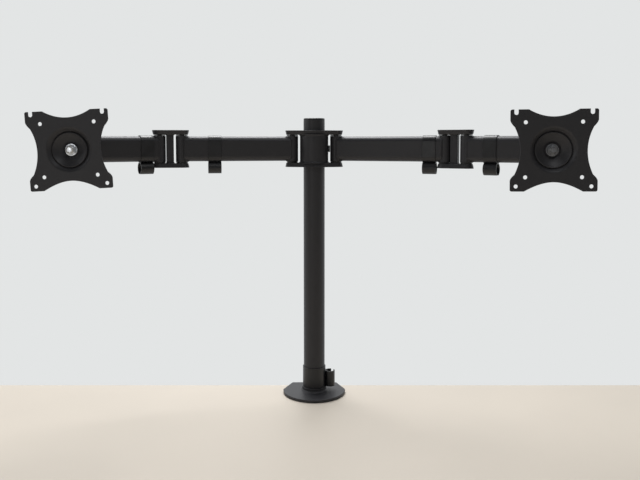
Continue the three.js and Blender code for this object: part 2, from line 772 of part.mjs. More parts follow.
// The pressed dish with the ring of flat plate round it, turned about the plate's axis
function dish() {
  const rimAngle = Math.asin(DISH_RIM_R / DISH_R);
  const front = DISH_R * Math.cos(rimAngle);
  const backAngle = Math.acos((front + PLATE_T) / dishBack);
  const start = rad(DISH_HOLE_ANGLE);
  const ringR = DISH_RIM_R + 2 * PLATE_T;
  const profile = [
    ...arcProfile(dishBack, start, backAngle),
    [ringR, -front - PLATE_T],
    [ringR, -front],
    ...arcProfile(DISH_R, start, rimAngle).reverse(),
  ];
  profile.push(profile[0]);
  return alongX(turned(profile, FINE)).translate([ballAt, 0, 0]);
}

function vesaPlate() {
  const back = HEAD_REACH - PLATE_T;
  let plate = slab(plateOutline(), back, HEAD_REACH);
  plate = plate.subtract(cylinder(DISH_RIM_R + PLATE_T, back - OVERCUT, HEAD_REACH + OVERCUT, 0, 0, FINE));
  const holes = [];
  for (const x of [-1, 1]) {
    for (const y of [-1, 1]) {
      holes.push([(x * VESA_SMALL) / 2, (y * VESA_SMALL) / 2]);
    }
    holes.push([(x * VESA_LARGE) / 2, -VESA_LARGE / 2]);
  }
  for (const [x, y] of holes) {
    plate = plate.subtract(cylinder(VESA_HOLE_R, back - OVERCUT, HEAD_REACH + OVERCUT, x, y, SMALL));
  }
  return stood(plate).add(dish());
}

function addHead(parent, side, lean, roll) {
  addPart(parent, `${side}_head_bracket`, headBracket(), powderCoat);
  const earTop = flangeInner + EAR_T;
  addPart(parent, `${side}_head_pin`, hingePin(earTop, -earTop), zinc);
  addPart(parent, `${side}_head_bolt`, headBolt(), zinc);
  addPart(parent, `${side}_cup_washer`, cupWasher(), powderCoat);
  addPart(parent, `${side}_head_nut`, headNut(), zinc);

  // The ball's frame leans the liner and plate about its centre, then rolls the plate
  const ball = frameAt(parent, ballAt, 0, 0, 0);
  ball.rotation.set(0, rad(lean), 0);
  const leaned = new THREE.Group();
  leaned.position.x = -ballAt;
  ball.add(leaned);
  const liner = bowl(linerFront, linerFront + LINER_T, DISH_HOLE_ANGLE, LINER_ANGLE);
  addPart(leaned, `${side}_head_liner`, liner, nylon);
  const rolled = new THREE.Group();
  rolled.rotation.x = rad(roll);
  leaned.add(rolled);
  addPart(rolled, `${side}_vesa_plate`, vesaPlate(), powderCoat);
}

function addArm(parent, side, pose) {
  const clip = CLIP_FROM_ELBOW[side];
  const clipEdge = LOBE_R + CLIP_LENGTH / 2;
  const x = side === "left" ? -shoulderAt : shoulderAt;
  const shoulder = frameAt(parent, x, 0, 0, pose.arm1);
  addHinge(shoulder, 0, `${side}_shoulder_pin`, `${side}_shoulder_washer`, nylon);
  addPart(shoulder, `${side}_arm_1`, armTube(ARM_1_LENGTH), powderCoat);
  const innerClip = addPart(shoulder, `${side}_arm_1_clip`, armClip(), moulded);
  innerClip.position.x = ARM_1_LENGTH - clipEdge - clip.arm1;

  const inner = frameAt(shoulder, ARM_1_LENGTH, 0, 0, pose.link - pose.arm1);
  addPart(inner, `${side}_elbow_link`, elbowLink(side === "left"), powderCoat);
  addHinge(inner, 0, `${side}_elbow_inner_pin`, `${side}_elbow_inner_washer`, nylon);
  addHinge(inner, LINK_LENGTH, `${side}_elbow_outer_pin`, `${side}_elbow_outer_washer`, nylon);

  const outer = frameAt(inner, LINK_LENGTH, 0, 0, pose.arm2 - pose.link);
  addPart(outer, `${side}_arm_2`, armTube(ARM_2_LENGTH), powderCoat);
  const outerClip = addPart(outer, `${side}_arm_2_clip`, armClip(), moulded);
  outerClip.position.x = clipEdge + clip.arm2;

  const head = frameAt(outer, ARM_2_LENGTH, 0, 0, pose.facing - pose.arm2);
  addHead(head, side, PLATE_LEAN, pose.roll);
}

const monitorArm = new THREE.Group();
addStand(monitorArm);
const carriage = frameAt(monitorArm, 0, 0, ARM_LEVEL, 0);
addPart(carriage, "collar_sleeve", collarSleeve(), nylon);
addPart(carriage, "centre_bracket", centreBracket(), powderCoat);
addPart(carriage, "lock_screw", lockScrew(), zinc);
for (const side of ["left", "right"]) {
  addArm(carriage, side, REST[side]);
}

export default monitorArm;
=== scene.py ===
"""Dual monitor arm: its finished look, built piece by piece round the fixed CAD frame.

Sizes in this file are millimetres in each piece's own place, turned to metres when the mesh is made.
"""

import json
import math

import bmesh
import bpy
from bpy.props import FloatProperty, FloatVectorProperty, PointerProperty
from mathutils import Matrix, Vector


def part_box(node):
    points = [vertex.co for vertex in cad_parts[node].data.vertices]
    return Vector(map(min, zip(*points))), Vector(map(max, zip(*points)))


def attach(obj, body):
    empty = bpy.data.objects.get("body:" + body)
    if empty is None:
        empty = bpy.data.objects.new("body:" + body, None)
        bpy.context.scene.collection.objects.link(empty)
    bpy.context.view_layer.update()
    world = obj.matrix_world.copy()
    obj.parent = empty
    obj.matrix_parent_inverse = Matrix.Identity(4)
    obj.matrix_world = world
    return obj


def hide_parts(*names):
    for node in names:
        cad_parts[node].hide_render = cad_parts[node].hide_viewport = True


bl_info = {
    "name": "Dual Monitor Arm",
    "version": (1, 0, 0),
    "blender": (4, 5, 0),
    "location": "View3D > Sidebar > Monitor Arm",
    "description": "Builds a desk-clamped dual monitor arm round its CAD frame",
    "category": "Add Mesh",
}

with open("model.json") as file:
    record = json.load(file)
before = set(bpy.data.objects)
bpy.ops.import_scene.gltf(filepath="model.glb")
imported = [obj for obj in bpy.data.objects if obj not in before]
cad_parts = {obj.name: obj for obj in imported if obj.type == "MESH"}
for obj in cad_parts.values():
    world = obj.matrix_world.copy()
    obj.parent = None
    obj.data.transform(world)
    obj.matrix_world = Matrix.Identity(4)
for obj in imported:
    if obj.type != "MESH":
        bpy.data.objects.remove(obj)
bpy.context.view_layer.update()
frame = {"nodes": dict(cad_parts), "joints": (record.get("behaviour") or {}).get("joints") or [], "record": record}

MM = 0.001
SIDES = ("left", "right")
JOINTS = {joint["name"]: joint for joint in frame["joints"]}
MOUNTS = {mount["name"]: mount for mount in frame["record"]["mounts"]}


# ---- Sizes of the CAD nodes, millimetres ----
def low_of(node):
    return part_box(node)[0] / MM


def high_of(node):
    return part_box(node)[1] / MM


def size_of(node):
    return high_of(node) - low_of(node)


def pivot(joint):
    return Vector(JOINTS[joint]["pos_m"]) / MM


LEVEL = pivot("left_shoulder").z
POLE_R = size_of("pole").x / 2
POLE_WALL = 2
POLE_TOP = high_of("pole_cap").z
POLE_FOOT = low_of("pole").z
CAP_PLUG = 12
POLE_END = low_of("pole_cap").z + CAP_PLUG
BASE_T = 4
BASE_TOP = high_of("base_pad").z + BASE_T
BASE_R = -low_of("base_plate").y
FLANGE_BACK = high_of("base_plate").y
BASE_BACK = FLANGE_BACK - BASE_T
BASE_BACK_WIDTH = 76
SOCKET_TOP = high_of("base_plate").z
SOCKET_WALL = 2.4
CLAMP_T = 5
CLAMP_WIDTH = size_of("clamp_bracket").x
PAD_R = size_of("clamp_pad").x / 2
SCREW_R = 5
SCREW_PITCH = 1.5
SCREW_TIP_R = 3.5
BARREL_HALF = size_of("left_arm_1").z / 2
BARREL_R = 9.6
FLANGE_OUTER = size_of("left_elbow_link").z / 2
FLANGE_T = 7
FLANGE_INNER = FLANGE_OUTER - FLANGE_T
LOBE_R = 11.5
EAR_T = 4
EAR_TOP = FLANGE_INNER + EAR_T
PIN_R = 4
PIN_HEAD_R = 7.2
PIN_HEAD_CONE = 3.2
WASHER_R = 9.2
WASHER_T = 1.5
GAP = 0.3
SLEEVE_T = 1
SLEEVE_R = POLE_R + GAP + SLEEVE_T
COLLAR_WALL = 4.3
COLLAR_R = SLEEVE_R + GAP + COLLAR_WALL
SHOULDER_AT = pivot("right_shoulder").x
TUBE_HEIGHT = 40
TUBE_WIDTH = 20
TUBE_CORNER = 8.5
DISH_R = 40
DISH_RIM_R = 30.5
PLATE_T = 2
LINER_T = 1.2
CUP_T = 3.2
CUP_FRONT = DISH_R + PLATE_T + GAP + LINER_T + GAP
CUP_BACK = CUP_FRONT + CUP_T
CUP_WASHER_T = 2.4
CUP_WASHER_R = DISH_R - GAP
CUP_WASHER_ANGLE = 40
DISH_HOLE_ANGLE = 21
VESA_SMALL = 75
VESA_LARGE = 100
MOUNT_HOLE_R = 2.75
LINK_WEB_CLEAR = 3.2
LINK_WEB_DEPTH = 12
CLIP_LENGTH = 21
CLIP_WALL = 1.2
CLIP_RING_R = 10
CLIP_RING_WALL = 2
CLIP_MOUTH = 5
POLE_RING_R = 8.3
POLE_RING_HEIGHT = 26
POLE_CLIP_TURN = 50
POLE_CLIP_SNUG = 0.06
NUT_AF = 13
NUT_SEAT_R = 9.4
NUT_T = 8
BOLT_PROUD = 1.6
FORK_WALL_AT = 17
FORK_WIDTH = 24
NECK_R = 11
PLATE_ROLL = {"left": 2.9, "right": 0.5}
CREASE = 38
MERGE_DISTANCE = 0.001
# Each arm tube: node, pivots at its ends and moving body
ARMS = (("arm_1", "shoulder", "elbow_inner", "inner_arm"),
        ("arm_2", "elbow_outer", "head_pan", "outer_arm"))


# ---- Places ----
def place_at(origin, forward=(1, 0, 0)):
    """A frame at origin with +X along forward and +Z as near upright as it can be."""
    x = Vector(forward).normalized()
    y = Vector((0, 0, 1)).cross(x).normalized()
    place = Matrix((x, y, x.cross(y))).transposed().to_4x4()
    place.translation = origin
    return place


def spin(degrees, axis):
    return Matrix.Rotation(math.radians(degrees), 4, axis)


def shift(x=0, y=0, z=0):
    return Matrix.Translation((x, y, z))


HERE = Matrix()
# Turns a piece drawn upright so that its Z lies along the arm's X and its Y points up
FACE = Matrix(((0, 0, 1, 0), (1, 0, 0, 0), (0, 1, 0, 0), (0, 0, 0, 1)))


def arm_place(side, start, end):
    origin = pivot(f"{side}_{start}")
    reach = pivot(f"{side}_{end}") - origin
    return place_at(origin, reach), reach.length


def head_place(side):
    """The head's frame at the pan pivot, and the distance from there to the ball's centre."""
    origin = pivot(f"{side}_head_pan")
    reach = pivot(f"{side}_plate_spin") - origin
    return place_at(origin, reach), reach.length


def ball_place(side):
    """The plate's frame at the ball's centre, leaned and rolled as the plate is."""
    facing = JOINTS[f"{side}_plate_spin"]["axis"]
    return place_at(pivot(f"{side}_plate_spin"), facing) @ spin(PLATE_ROLL[side], "X") @ FACE


# ---- Outlines, lists of (x, y) running anticlockwise ----
def arc(radius, start, end, steps, x=0, y=0):
    angles = [math.radians(start + (end - start) * i / steps) for i in range(steps + 1)]
    return [(x + radius * math.cos(a), y + radius * math.sin(a)) for a in angles]


def circle(radius, sides=64, x=0, y=0):
    return arc(radius, 0, 360, sides, x, y)[:-1]


def curve(start, control, end, steps=10):
    """Points of a quadratic curve, without its first."""
    points = []
    for i in range(1, steps + 1):
        t = i / steps
        a, b, c = (1 - t) ** 2, 2 * t * (1 - t), t * t
        points.append(tuple(a * p + b * q + c * r for p, q, r in zip(start, control, end)))
    return points


def soften(corners, closed=True, steps=6):
    """A polyline with rounded corners: each corner is (x, y) or (x, y, radius)."""
    points = []
    for i, corner in enumerate(corners):
        here = Vector(corner[:2])
        ended = not closed and i in (0, len(corners) - 1)
        if len(corner) < 3 or ended:
            points.append(tuple(here))
            continue
        back = (Vector(corners[i - 1][:2]) - here).normalized()
        ahead = (Vector(corners[(i + 1) % len(corners)][:2]) - here).normalized()
        half = back.angle(ahead) / 2
        centre = here + (back + ahead).normalized() * (corner[2] / math.sin(half))
        first = here + back * (corner[2] / math.tan(half)) - centre
        last = here + ahead * (corner[2] / math.tan(half)) - centre
        turn = math.atan2(first.x * last.y - first.y * last.x, first.dot(last))
        for k in range(steps + 1):
            points.append(tuple(centre + Matrix.Rotation(turn * k / steps, 2) @ first))
    return points


def box_outline(width, height, corner, steps=8):
    x, y = width / 2, height / 2
    return soften([(x, y, corner), (-x, y, corner), (-x, -y, corner), (x, -y, corner)], steps=steps)


def on_sphere(radius, angle):
    """(radius, level) on a sphere about the origin, at an angle in degrees from its back."""
    return (radius * math.sin(math.radians(angle)), -radius * math.cos(math.radians(angle)))


def polar(radius_at, sides):
    """An outline from its radius at each angle in degrees."""
    angles = [i * 360 / sides for i in range(sides)]
    return [(radius_at(a) * math.cos(math.radians(a)),
             radius_at(a) * math.sin(math.radians(a))) for a in angles]


def hex_radius(across_flats):
    return lambda a: across_flats / 2 / math.cos(math.radians((a + 30) % 60 - 30))


def rounded_rim(low, high, edge, draft=0, steps=3):
    """(inset, level) pairs of a wall with both edges rounded; draft insets its low end."""
    quarter = [math.radians(90 * i / steps) for i in range(steps + 1)]
    under = [(draft + edge * (1 - math.sin(a)), low + edge * (1 - math.cos(a))) for a in quarter]
    over = [(edge * (1 - math.cos(a)), high - edge * (1 - math.sin(a))) for a in quarter]
    return under + over


# ---- Mesh primitives: each adds one closed shell to a bmesh ----
def skin(mesh, place, rows, ends="cap"):
    """Faces between rows of points. ends is cap, loop (the last row joins the first) or open."""
    made = [[mesh.verts.new(place @ Vector(p)) for p in row] for row in rows]
    pairs = list(zip(made, made[1:])) + ([(made[-1], made[0])] if ends == "loop" else [])
    for a, b in pairs:
        count = max(len(a), len(b))
        for i in range(count):
            j = (i + 1) % count
            corners = (a[i % len(a)], a[j % len(a)], b[j % len(b)], b[i % len(b)])
            mesh.faces.new(list(dict.fromkeys(corners)))
    if ends == "cap":
        for row in (made[0], made[-1]):
            if len(row) > 2:
                mesh.faces.new(row)
    return made


def lathe(mesh, place, profile, sides=64, ends="cap"):
    """Turned about Z from (radius, level) points; a point on the axis closes it there."""
    rows = [[(0, 0, z)] if r < 1e-6 else [(x, y, z) for x, y in circle(r, sides)] for r, z in profile]
    return skin(mesh, place, rows, ends)


def ring(mesh, place, profile, sides=64):
    """Turned about Z from a closed profile that stays off the axis."""
    return lathe(mesh, place, profile, sides, "loop")


def slab(mesh, place, *loops):
    """A plate from (points, rim) loops, the outline first and then its holes."""
    ends = ([], [])
    for index, (points, rim) in enumerate(loops):
        points = [Vector(p) for p in (points[::-1] if index else points)]
        outward = []
        for i, p in enumerate(points):
            a = (p - points[i - 1]).normalized()
            b = (points[(i + 1) % len(points)] - p).normalized()
            normal = Vector((a.y + b.y, -a.x - b.x))
            outward.append(normal / (1 + a.dot(b)))
        rows = [[(p.x - n.x * inset, p.y - n.y * inset, z) for p, n in zip(points, outward)]
                for inset, z in rim]
        made = skin(mesh, place, rows, "open")
        for end, row in zip(ends, (made[0], made[-1])):
            end.append(row)
    for end in ends:
        if len(end) == 1:
            mesh.faces.new(end[0])
            continue
        edges = [mesh.edges.get((row[i - 1], row[i])) for row in end for i in range(len(row))]
        bmesh.ops.triangle_fill(mesh, use_beauty=True, edges=edges)


def sweep(mesh, place, path, section, across, ends="cap"):
    """A section drawn along a path. section(i) gives (side, out) pairs; across is the side direction."""
    path = [Vector(p) for p in path]
    count = len(path)
    rows = []
    for i, p in enumerate(path):
        before, after = path[i - 1], path[(i + 1) % count]
        if ends != "loop":
            before, after = path[max(i - 1, 0)], path[min(i + 1, count - 1)]
        along = (after - before).normalized()
        out = along.cross(Vector(across)).normalized()
        side = out.cross(along).normalized()
        rows.append([p + side * s + out * o for s, o in section(i)])
    return skin(mesh, place, rows, ends)


def bead(mesh, place, path, radius, across, sides=8):
    """A weld bead round a closed path, with the ripples that each pass of the torch leaves."""
    def section(i):
        swell = radius * (1 + 0.1 * math.sin(i * 2.4))
        return circle(swell, sides)
    sweep(mesh, place, path, section, across, "loop")


def strap(mesh, place, path, width_at, thickness, edge=0.6):
    """A bent flat bar along a path in the place's XZ plane."""
    def section(i):
        wide = width_at(i)
        return box_outline(2 * wide, thickness, min(edge, wide * 0.9), 2)
    sweep(mesh, place, path, section, (0, 1, 0))


def thread(mesh, place, radius, pitch, low, high, sides=24, steps=6):
    """A screw thread with a chamfered end at each side."""
    depth = 0.55 * pitch
    count = max(2, round((high - low) / pitch * steps))
    rows = []
    for k in range(count + 1):
        z = low + (high - low) * k / count
        fade = min(1.0, (z - low) / pitch, (high - z) / pitch)
        row = []
        for x, y in circle(1, sides):
            phase = (z / pitch - math.atan2(y, x) / math.tau) % 1
            crest = 1 - abs(2 * phase - 1)
            r = radius - depth * (1 - crest * fade)
            row.append((x * r, y * r, z))
        rows.append(row)
    skin(mesh, place, rows)


def hexagon(mesh, place, across_flats, low, high, chamfer=0.9, sides=72):
    """A hexagon bar with the turned chamfers of a nut or a bolt head."""
    radius_at = hex_radius(across_flats)
    corner = across_flats / math.sqrt(3)
    steps = [(corner - 1.6 * chamfer, 0), (corner - 0.75 * chamfer, 0.5), (corner, 1)]
    levels = [(limit, low + f * chamfer) for limit, f in steps]
    levels += [(limit, high - f * chamfer) for limit, f in reversed(steps)]
    rows = []
    for limit, z in levels:
        rows.append([(x, y, z) for x, y in polar(lambda a: min(radius_at(a), limit), sides)])
    skin(mesh, place, rows)


# ---- Finishes ----
def srgb(code):
    """A hex colour as linear red, green, blue and alpha."""
    channels = [int(code[i:i + 2], 16) / 255 for i in (1, 3, 5)]
    return [c / 12.92 if c <= 0.04045 else ((c + 0.055) / 1.055) ** 2.4 for c in channels] + [1.0]


def per_mm(size):
    """Pattern scale for a feature of that size in millimetres, on coordinates in metres."""
    return 1 / (size * MM)


def add(tree, kind, values=None, links=None, **settings):
    """Adds a shader node with its settings, input values and links from (node, output)."""
    node = tree.nodes.new(kind)
    for key, value in settings.items():
        setattr(node, key, value)
    for key, value in (values or {}).items():
        node.inputs[key].default_value = value
    for key, (source, output) in (links or {}).items():
        tree.links.new(source.outputs[output], node.inputs[key])
    return node


def material(name, build):
    """The named material, made by build(tree, shader) when first asked for."""
    found = bpy.data.materials.get(name)
    if found:
        return found
    made = bpy.data.materials.new(name)
    made.use_nodes = True
    tree = made.node_tree
    shader = tree.nodes["Principled BSDF"]
    build(tree, shader)
    made.diffuse_color = shader.inputs["Base Color"].default_value
    return made


def mottle(tree, shader, colours, grain, broad, roughness, bump, detail=4.0):
    """Colour, roughness and surface from a fine grain and a broad drift, sizes in millimetres.

    roughness is its lowest and highest value, and bump is a strength and a height.
    """
    place = add(tree, "ShaderNodeTexCoord")
    fine = add(tree, "ShaderNodeTexNoise", {"Scale": per_mm(grain), "Detail": detail, "Roughness": 0.6},
               {"Vector": (place, "Object")})
    drift = add(tree, "ShaderNodeTexNoise", {"Scale": per_mm(broad), "Detail": 3.0, "Distortion": 0.4},
                {"Vector": (place, "Object")})
    both = add(tree, "ShaderNodeMath", None, {0: (fine, "Fac"), 1: (drift, "Fac"), 2: (drift, "Fac")},
               operation="MULTIPLY_ADD")
    tone = add(tree, "ShaderNodeMapRange", {"From Min": 0.5, "From Max": 1.0}, {"Value": (both, 0)})
    mix = add(tree, "ShaderNodeMix", links={"Factor": (tone, 0)}, data_type="RGBA")
    mix.inputs["A"].default_value, mix.inputs["B"].default_value = colours
    tree.links.new(mix.outputs["Result"], shader.inputs["Base Color"])
    gloss = add(tree, "ShaderNodeMapRange", {"From Min": 0.3, "From Max": 0.7, "To Min": roughness[0],
                "To Max": roughness[1]}, {"Value": (drift, "Fac")})
    tree.links.new(gloss.outputs[0], shader.inputs["Roughness"])
    raised = add(tree, "ShaderNodeBump", {"Strength": bump[0], "Distance": bump[1] * MM},
                 {"Height": (fine, "Fac")})
    tree.links.new(raised.outputs["Normal"], shader.inputs["Normal"])
    return place, raised


def powder_coated_steel(tree, shader):
    """Black polyester powder coat baked on steel: satin, with a fine orange-peel skin that breaks
    highlights into a soft sparkle. The peel is about 0.5 mm; it is drawn at 0.9 mm to show."""
    look = bpy.context.scene.arm_finishes
    dark = list(look.powder_coat)
    light = [min(1, c * 1.5 + 0.001) for c in dark[:3]] + [1.0]
    mottle(tree, shader, (dark, light), 0.9, 28, (0.4, 0.5), (0.5, 0.05))
    shader.inputs["IOR"].default_value = 1.5


def moulded_abs(tree, shader):
    """Black injection-moulded ABS: a touch glossier than the coat, with a spark-eroded grain of
    about 0.2 mm, drawn at 0.5 mm to show, and slow flow marks from the mould."""
    look = bpy.context.scene.arm_finishes
    dark = list(look.moulded_plastic)
    light = [min(1, c * 1.4 + 0.001) for c in dark[:3]] + [1.0]
    mottle(tree, shader, (dark, light), 0.5, 18, (0.34, 0.46), (0.35, 0.03))
    shader.inputs["IOR"].default_value = 1.53


def black_nylon(tree, shader):
    """Black PA6 washers and liners: waxy and smooth from sliding, with faint turned streaks."""
    mottle(tree, shader, (srgb("#161617"), srgb("#232325")), 1.2, 9, (0.3, 0.42), (0.15, 0.02))
    shader.inputs["IOR"].default_value = 1.53


def natural_nylon(tree, shader):
    """The pale nylon ring in a locking nut: milky, and a little see-through."""
    mottle(tree, shader, (srgb("#c9c8c0"), srgb("#dedcd3")), 0.8, 5, (0.35, 0.45), (0.15, 0.02))
    shader.inputs["IOR"].default_value = 1.53
    shader.inputs["Subsurface Weight"].default_value = 0.15
    shader.inputs["Subsurface Radius"].default_value = (0.002, 0.002, 0.0015)


def painted_shade_nylon(tree, shader):
    """The same ring painted grey as painted shade, so that it hardly shows against the shaded nut."""
    mottle(tree, shader, (srgb("#6a6b6d"), srgb("#7c7d7f")), 0.8, 5, (0.4, 0.5), (0.15, 0.02))
    shader.inputs["IOR"].default_value = 1.53


def zinc(colours, roughness):
    def build(tree, shader):
        mottle(tree, shader, colours, 0.7, 4, roughness, (0.25, 0.02), 6.0)
        shader.inputs["Metallic"].default_value = 1.0
    return build


def bright_zinc():
    """Bright zinc plate on steel screws, cleared with a bluish rinse: clean and mirror-like under a
    cloudy film, with a tumbled surface."""
    look = bpy.context.scene.arm_finishes
    light = list(look.zinc_plate)
    return material("bright_zinc_plate", zinc((light, srgb("#d6dadf")), (0.28, 0.4)))


def painted_shade_zinc():
    """Zinc plate painted dull and grey as painted shade: a shaded copy of the bright zinc, for the right head's
    bolt and nut.
    """
    return material("painted_shade_zinc_plate", zinc((srgb("#8f9195"), srgb("#7a7c80")), (0.42, 0.58)))


def black_zinc():
    """Black-passivated zinc on the hinge screws: near black, with a metal's tight highlights."""
    return material("black_zinc_plate", zinc((srgb("#2c2d30"), srgb("#3b3c40")), (0.32, 0.48)))


def eva_foam(tree, shader):
    """Black closed-cell EVA foam: dead matt, pitted by cut cells of about 0.4 mm, drawn at 0.8 mm."""
    place, raised = mottle(tree, shader, (srgb("#141415"), srgb("#222223")), 0.8, 12, (0.85, 0.95),
                           (0.3, 0.05))
    cells = add(tree, "ShaderNodeTexVoronoi", {"Scale": per_mm(0.8)}, {"Vector": (place, "Object")})
    pits = add(tree, "ShaderNodeBump", {"Strength": 0.6, "Distance": 0.08 * MM},
               {"Height": (cells, "Distance"), "Normal": (raised, "Normal")})
    tree.links.new(pits.outputs["Normal"], shader.inputs["Normal"])


def coat():
    return material("powder_coated_steel", powder_coated_steel)


def abs_plastic():
    return material("moulded_abs", moulded_abs)


def nylon():
    return material("black_nylon", black_nylon)


# ---- Pieces ----
def mesh_data(mesh, name):
    """The bmesh as mesh data in metres, with its faces turned outward."""
    bmesh.ops.recalc_face_normals(mesh, faces=mesh.faces)
    mesh.transform(Matrix.Scale(MM, 4))
    data = bpy.data.meshes.new(name)
    mesh.to_mesh(data)
    mesh.free()
    return data


def new_object(name, data):
    made = bpy.data.objects.new(name, data)
    bpy.context.scene.collection.objects.link(made)
    return made


def smooth(data):
    """Smooth shading, except across edges that turn more than CREASE degrees."""
    data.shade_smooth()
    data.set_sharp_from_angle(angle=math.radians(CREASE))


def make(name, body, slot, finish, nodes, draw, *details, merge=False):
    """Draws a piece with draw(bmesh, *details), shades it and hangs it on its body for its nodes."""
    mesh = bmesh.new()
    draw(mesh, *details)
    if merge:
        bmesh.ops.remove_doubles(mesh, verts=mesh.verts, dist=MERGE_DISTANCE)
    data = mesh_data(mesh, name)
    smooth(data)
    data.materials.append(finish)
    piece = new_object(name, data)
    weighted = piece.modifiers.new("even_normals", "WEIGHTED_NORMAL")
    weighted.keep_sharp = True
    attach(piece, body)
    if nodes:
        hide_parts(*nodes)
    return piece


def cut(piece, draw, *details):
    """Takes the solid that draw(bmesh, *details) makes out of a piece."""
    mesh = bmesh.new()
    draw(mesh, *details)
    cutter = new_object("cutter", mesh_data(mesh, "cutter"))
    boolean = piece.modifiers.new("cut", "BOOLEAN")
    boolean.object = cutter
    boolean.operation = "DIFFERENCE"
    boolean.solver = "EXACT"
    boolean.use_self = True
    piece.modifiers.move(len(piece.modifiers) - 1, 0)
    even = piece.modifiers["even_normals"]
    even.show_viewport = even.show_render = False
    evaluated = piece.evaluated_get(bpy.context.evaluated_depsgraph_get())
    result = bpy.data.meshes.new_from_object(evaluated)
    piece.modifiers.remove(boolean)
    piece.data = result
    smooth(result)
    even.show_viewport = even.show_render = True
    bpy.data.objects.remove(cutter)


def base_outline(inset):
    """Half round in front, drawn in to the straight back edge."""
    back = BASE_BACK_WIDTH / 2 - inset
    rear = BASE_BACK - inset
    side = BASE_R - inset
    front = arc(side, 180, 360, 64)
    rest = [front[-3], (side, 0, 9), (back, rear, 3), (-back, rear, 3), (-side, 0, 9), front[2]]
    return front[2:-2] + soften(rest, False)[1:-1]


def base_pad(mesh):
    slab(mesh, HERE, (base_outline(0.6), rounded_rim(0.02, high_of("base_pad").z, 0.25)))


def base_plate(mesh):
    slab(mesh, HERE, (base_outline(0), rounded_rim(high_of("base_pad").z, BASE_TOP, 0.7)))
    # Folded flange at the back, down the desk's edge
    half = CLAMP_WIDTH / 2
    middle = BASE_TOP - BASE_T / 2 - 0.03
    side = [(BASE_BACK - 5, middle), (BASE_BACK + BASE_T / 2, middle, 3),
            (BASE_BACK + BASE_T / 2, low_of("base_plate").z)]
    path = soften(side, False, 10)
    end = path[-1]
    tail = [(end[0], end[1] + 5 * (1 - math.sin(math.radians(a)))) for a in (0, 30, 50, 65, 78, 88)]
    path = [(y, 0, z) for y, z in path[:-1] + tail]

    def width_at(i):
        drop = max(0, 5 - (path[i][2] - end[1]))
        return half - 5 + math.sqrt(max(0, 25 - drop * drop)) if drop else half
    strap(mesh, spin(90, "Z"), path, width_at, BASE_T)
    # Socket for the pole, welded on
    wall = POLE_R + GAP + SOCKET_WALL
    ring(mesh, HERE,
         soften([(POLE_R + GAP, BASE_TOP - 1), (wall + 2.2, BASE_TOP - 1), (wall + 2.2, BASE_TOP),
                 (wall, BASE_TOP + 2.2, 2), (wall, SOCKET_TOP, 0.8), (POLE_R + GAP, SOCKET_TOP, 0.5)]), 96)


def pole_tube(mesh):
    inner = POLE_R - POLE_WALL
    top = POLE_END - GAP
    ring(mesh, HERE, soften([(inner, POLE_FOOT), (POLE_R, POLE_FOOT, 0.4), (POLE_R, top, 0.4), (inner, top)],
                            steps=3), 128)


def pole_cap(mesh):
    bore = POLE_R - POLE_WALL - GAP
    crown = POLE_R - 0.1
    foot = POLE_END - CAP_PLUG
    profile = [(0, foot), (bore - 1.5, foot), (bore, foot + 3), (bore, POLE_END),
               (crown, POLE_END, 0.2), (crown, POLE_TOP, 1.4), (0, POLE_TOP)]
    lathe(mesh, HERE, soften(profile, False), 96)


def pole_clip(mesh):
    low, high = low_of("pole_clip").z, high_of("pole_clip").z
    inner = POLE_R + GAP
    outer = inner + CLIP_WALL
    snug = POLE_R + POLE_CLIP_SNUG
    band = [(snug, low), (outer, low, 0.4), (outer, high, 0.5), (snug, high, 0.2)]
    ring(mesh, HERE, soften(band, steps=3), 96)
    place = shift(outer + POLE_RING_R - CLIP_RING_WALL / 2) @ spin(POLE_CLIP_TURN, "Z")
    open_ring(mesh, place, POLE_RING_R, low, low + POLE_RING_HEIGHT)


def open_ring(mesh, place, radius, low, high):
    """A cable ring with a slit towards +X and rounded lips."""
    middle = radius - CLIP_RING_WALL / 2
    lip = CLIP_RING_WALL / 2
    half = math.degrees(math.asin((CLIP_MOUTH / 2 + lip) / middle))
    outline = arc(radius, half, 360 - half, 48)
    for end, start, turn in ((360 - half, 0, 1), (half, 180, 1)):
        x, y = arc(middle, end, end, 1)[0]
        outline += arc(lip, end + start, end + start + 180 * turn, 6, x, y)[1:-1]
        if start == 0:
            outline += arc(radius - CLIP_RING_WALL, 360 - half, half, 48)
    slab(mesh, place, (outline, rounded_rim(low, high, 0.4, steps=2)))


def clamp_bracket(mesh):
    low, high = low_of("clamp_bracket"), high_of("clamp_bracket")
    boss = low.z
    floor = boss + 8 + CLAMP_T / 2
    back = high.y - CLAMP_T / 2
    front = low.y
    half = CLAMP_WIDTH / 2
    path = soften([(back, high.z), (back, floor, 5), (front, floor)], False, 10)
    rounding = 6
    head = [(back, high.z - rounding * (1 - math.sin(math.radians(a)))) for a in (88, 75, 60, 45, 25, 0)]
    tail = [(front + 16 * f, floor) for f in (1, 0.8, 0.6, 0.4, 0.2, 0.05, 0)]
    path = [(y, 0, z) for y, z in head + path[1:-1] + tail]

    def width_at(i):
        rise = max(0, rounding - (high.z - path[i][2]))
        if rise:
            return half - rounding + math.sqrt(max(0, rounding ** 2 - rise ** 2))
        near = max(0, 1 - (path[i][0] - front) / 16) if path[i][2] < floor + 1 else 0
        return half - 9 * near ** 1.3
    strap(mesh, spin(90, "Z"), path, width_at, CLAMP_T)
    under = floor - CLAMP_T / 2
    ring(mesh, HERE, soften([(SCREW_R + 0.2, boss), (SCREW_R + 5, boss, 0.8), (SCREW_R + 5, under - 1.5, 1),
                             (SCREW_R + 7, under + 0.5), (SCREW_R + 0.2, under + 0.5)]), 48)
    ring(mesh, HERE,
         soften([(SCREW_R + 0.2, floor), (SCREW_R + 4, floor), (SCREW_R + 1.2, floor + CLAMP_T / 2 + 0.3),
                 (SCREW_R + 0.2, floor + CLAMP_T / 2 + 0.3)]), 48)


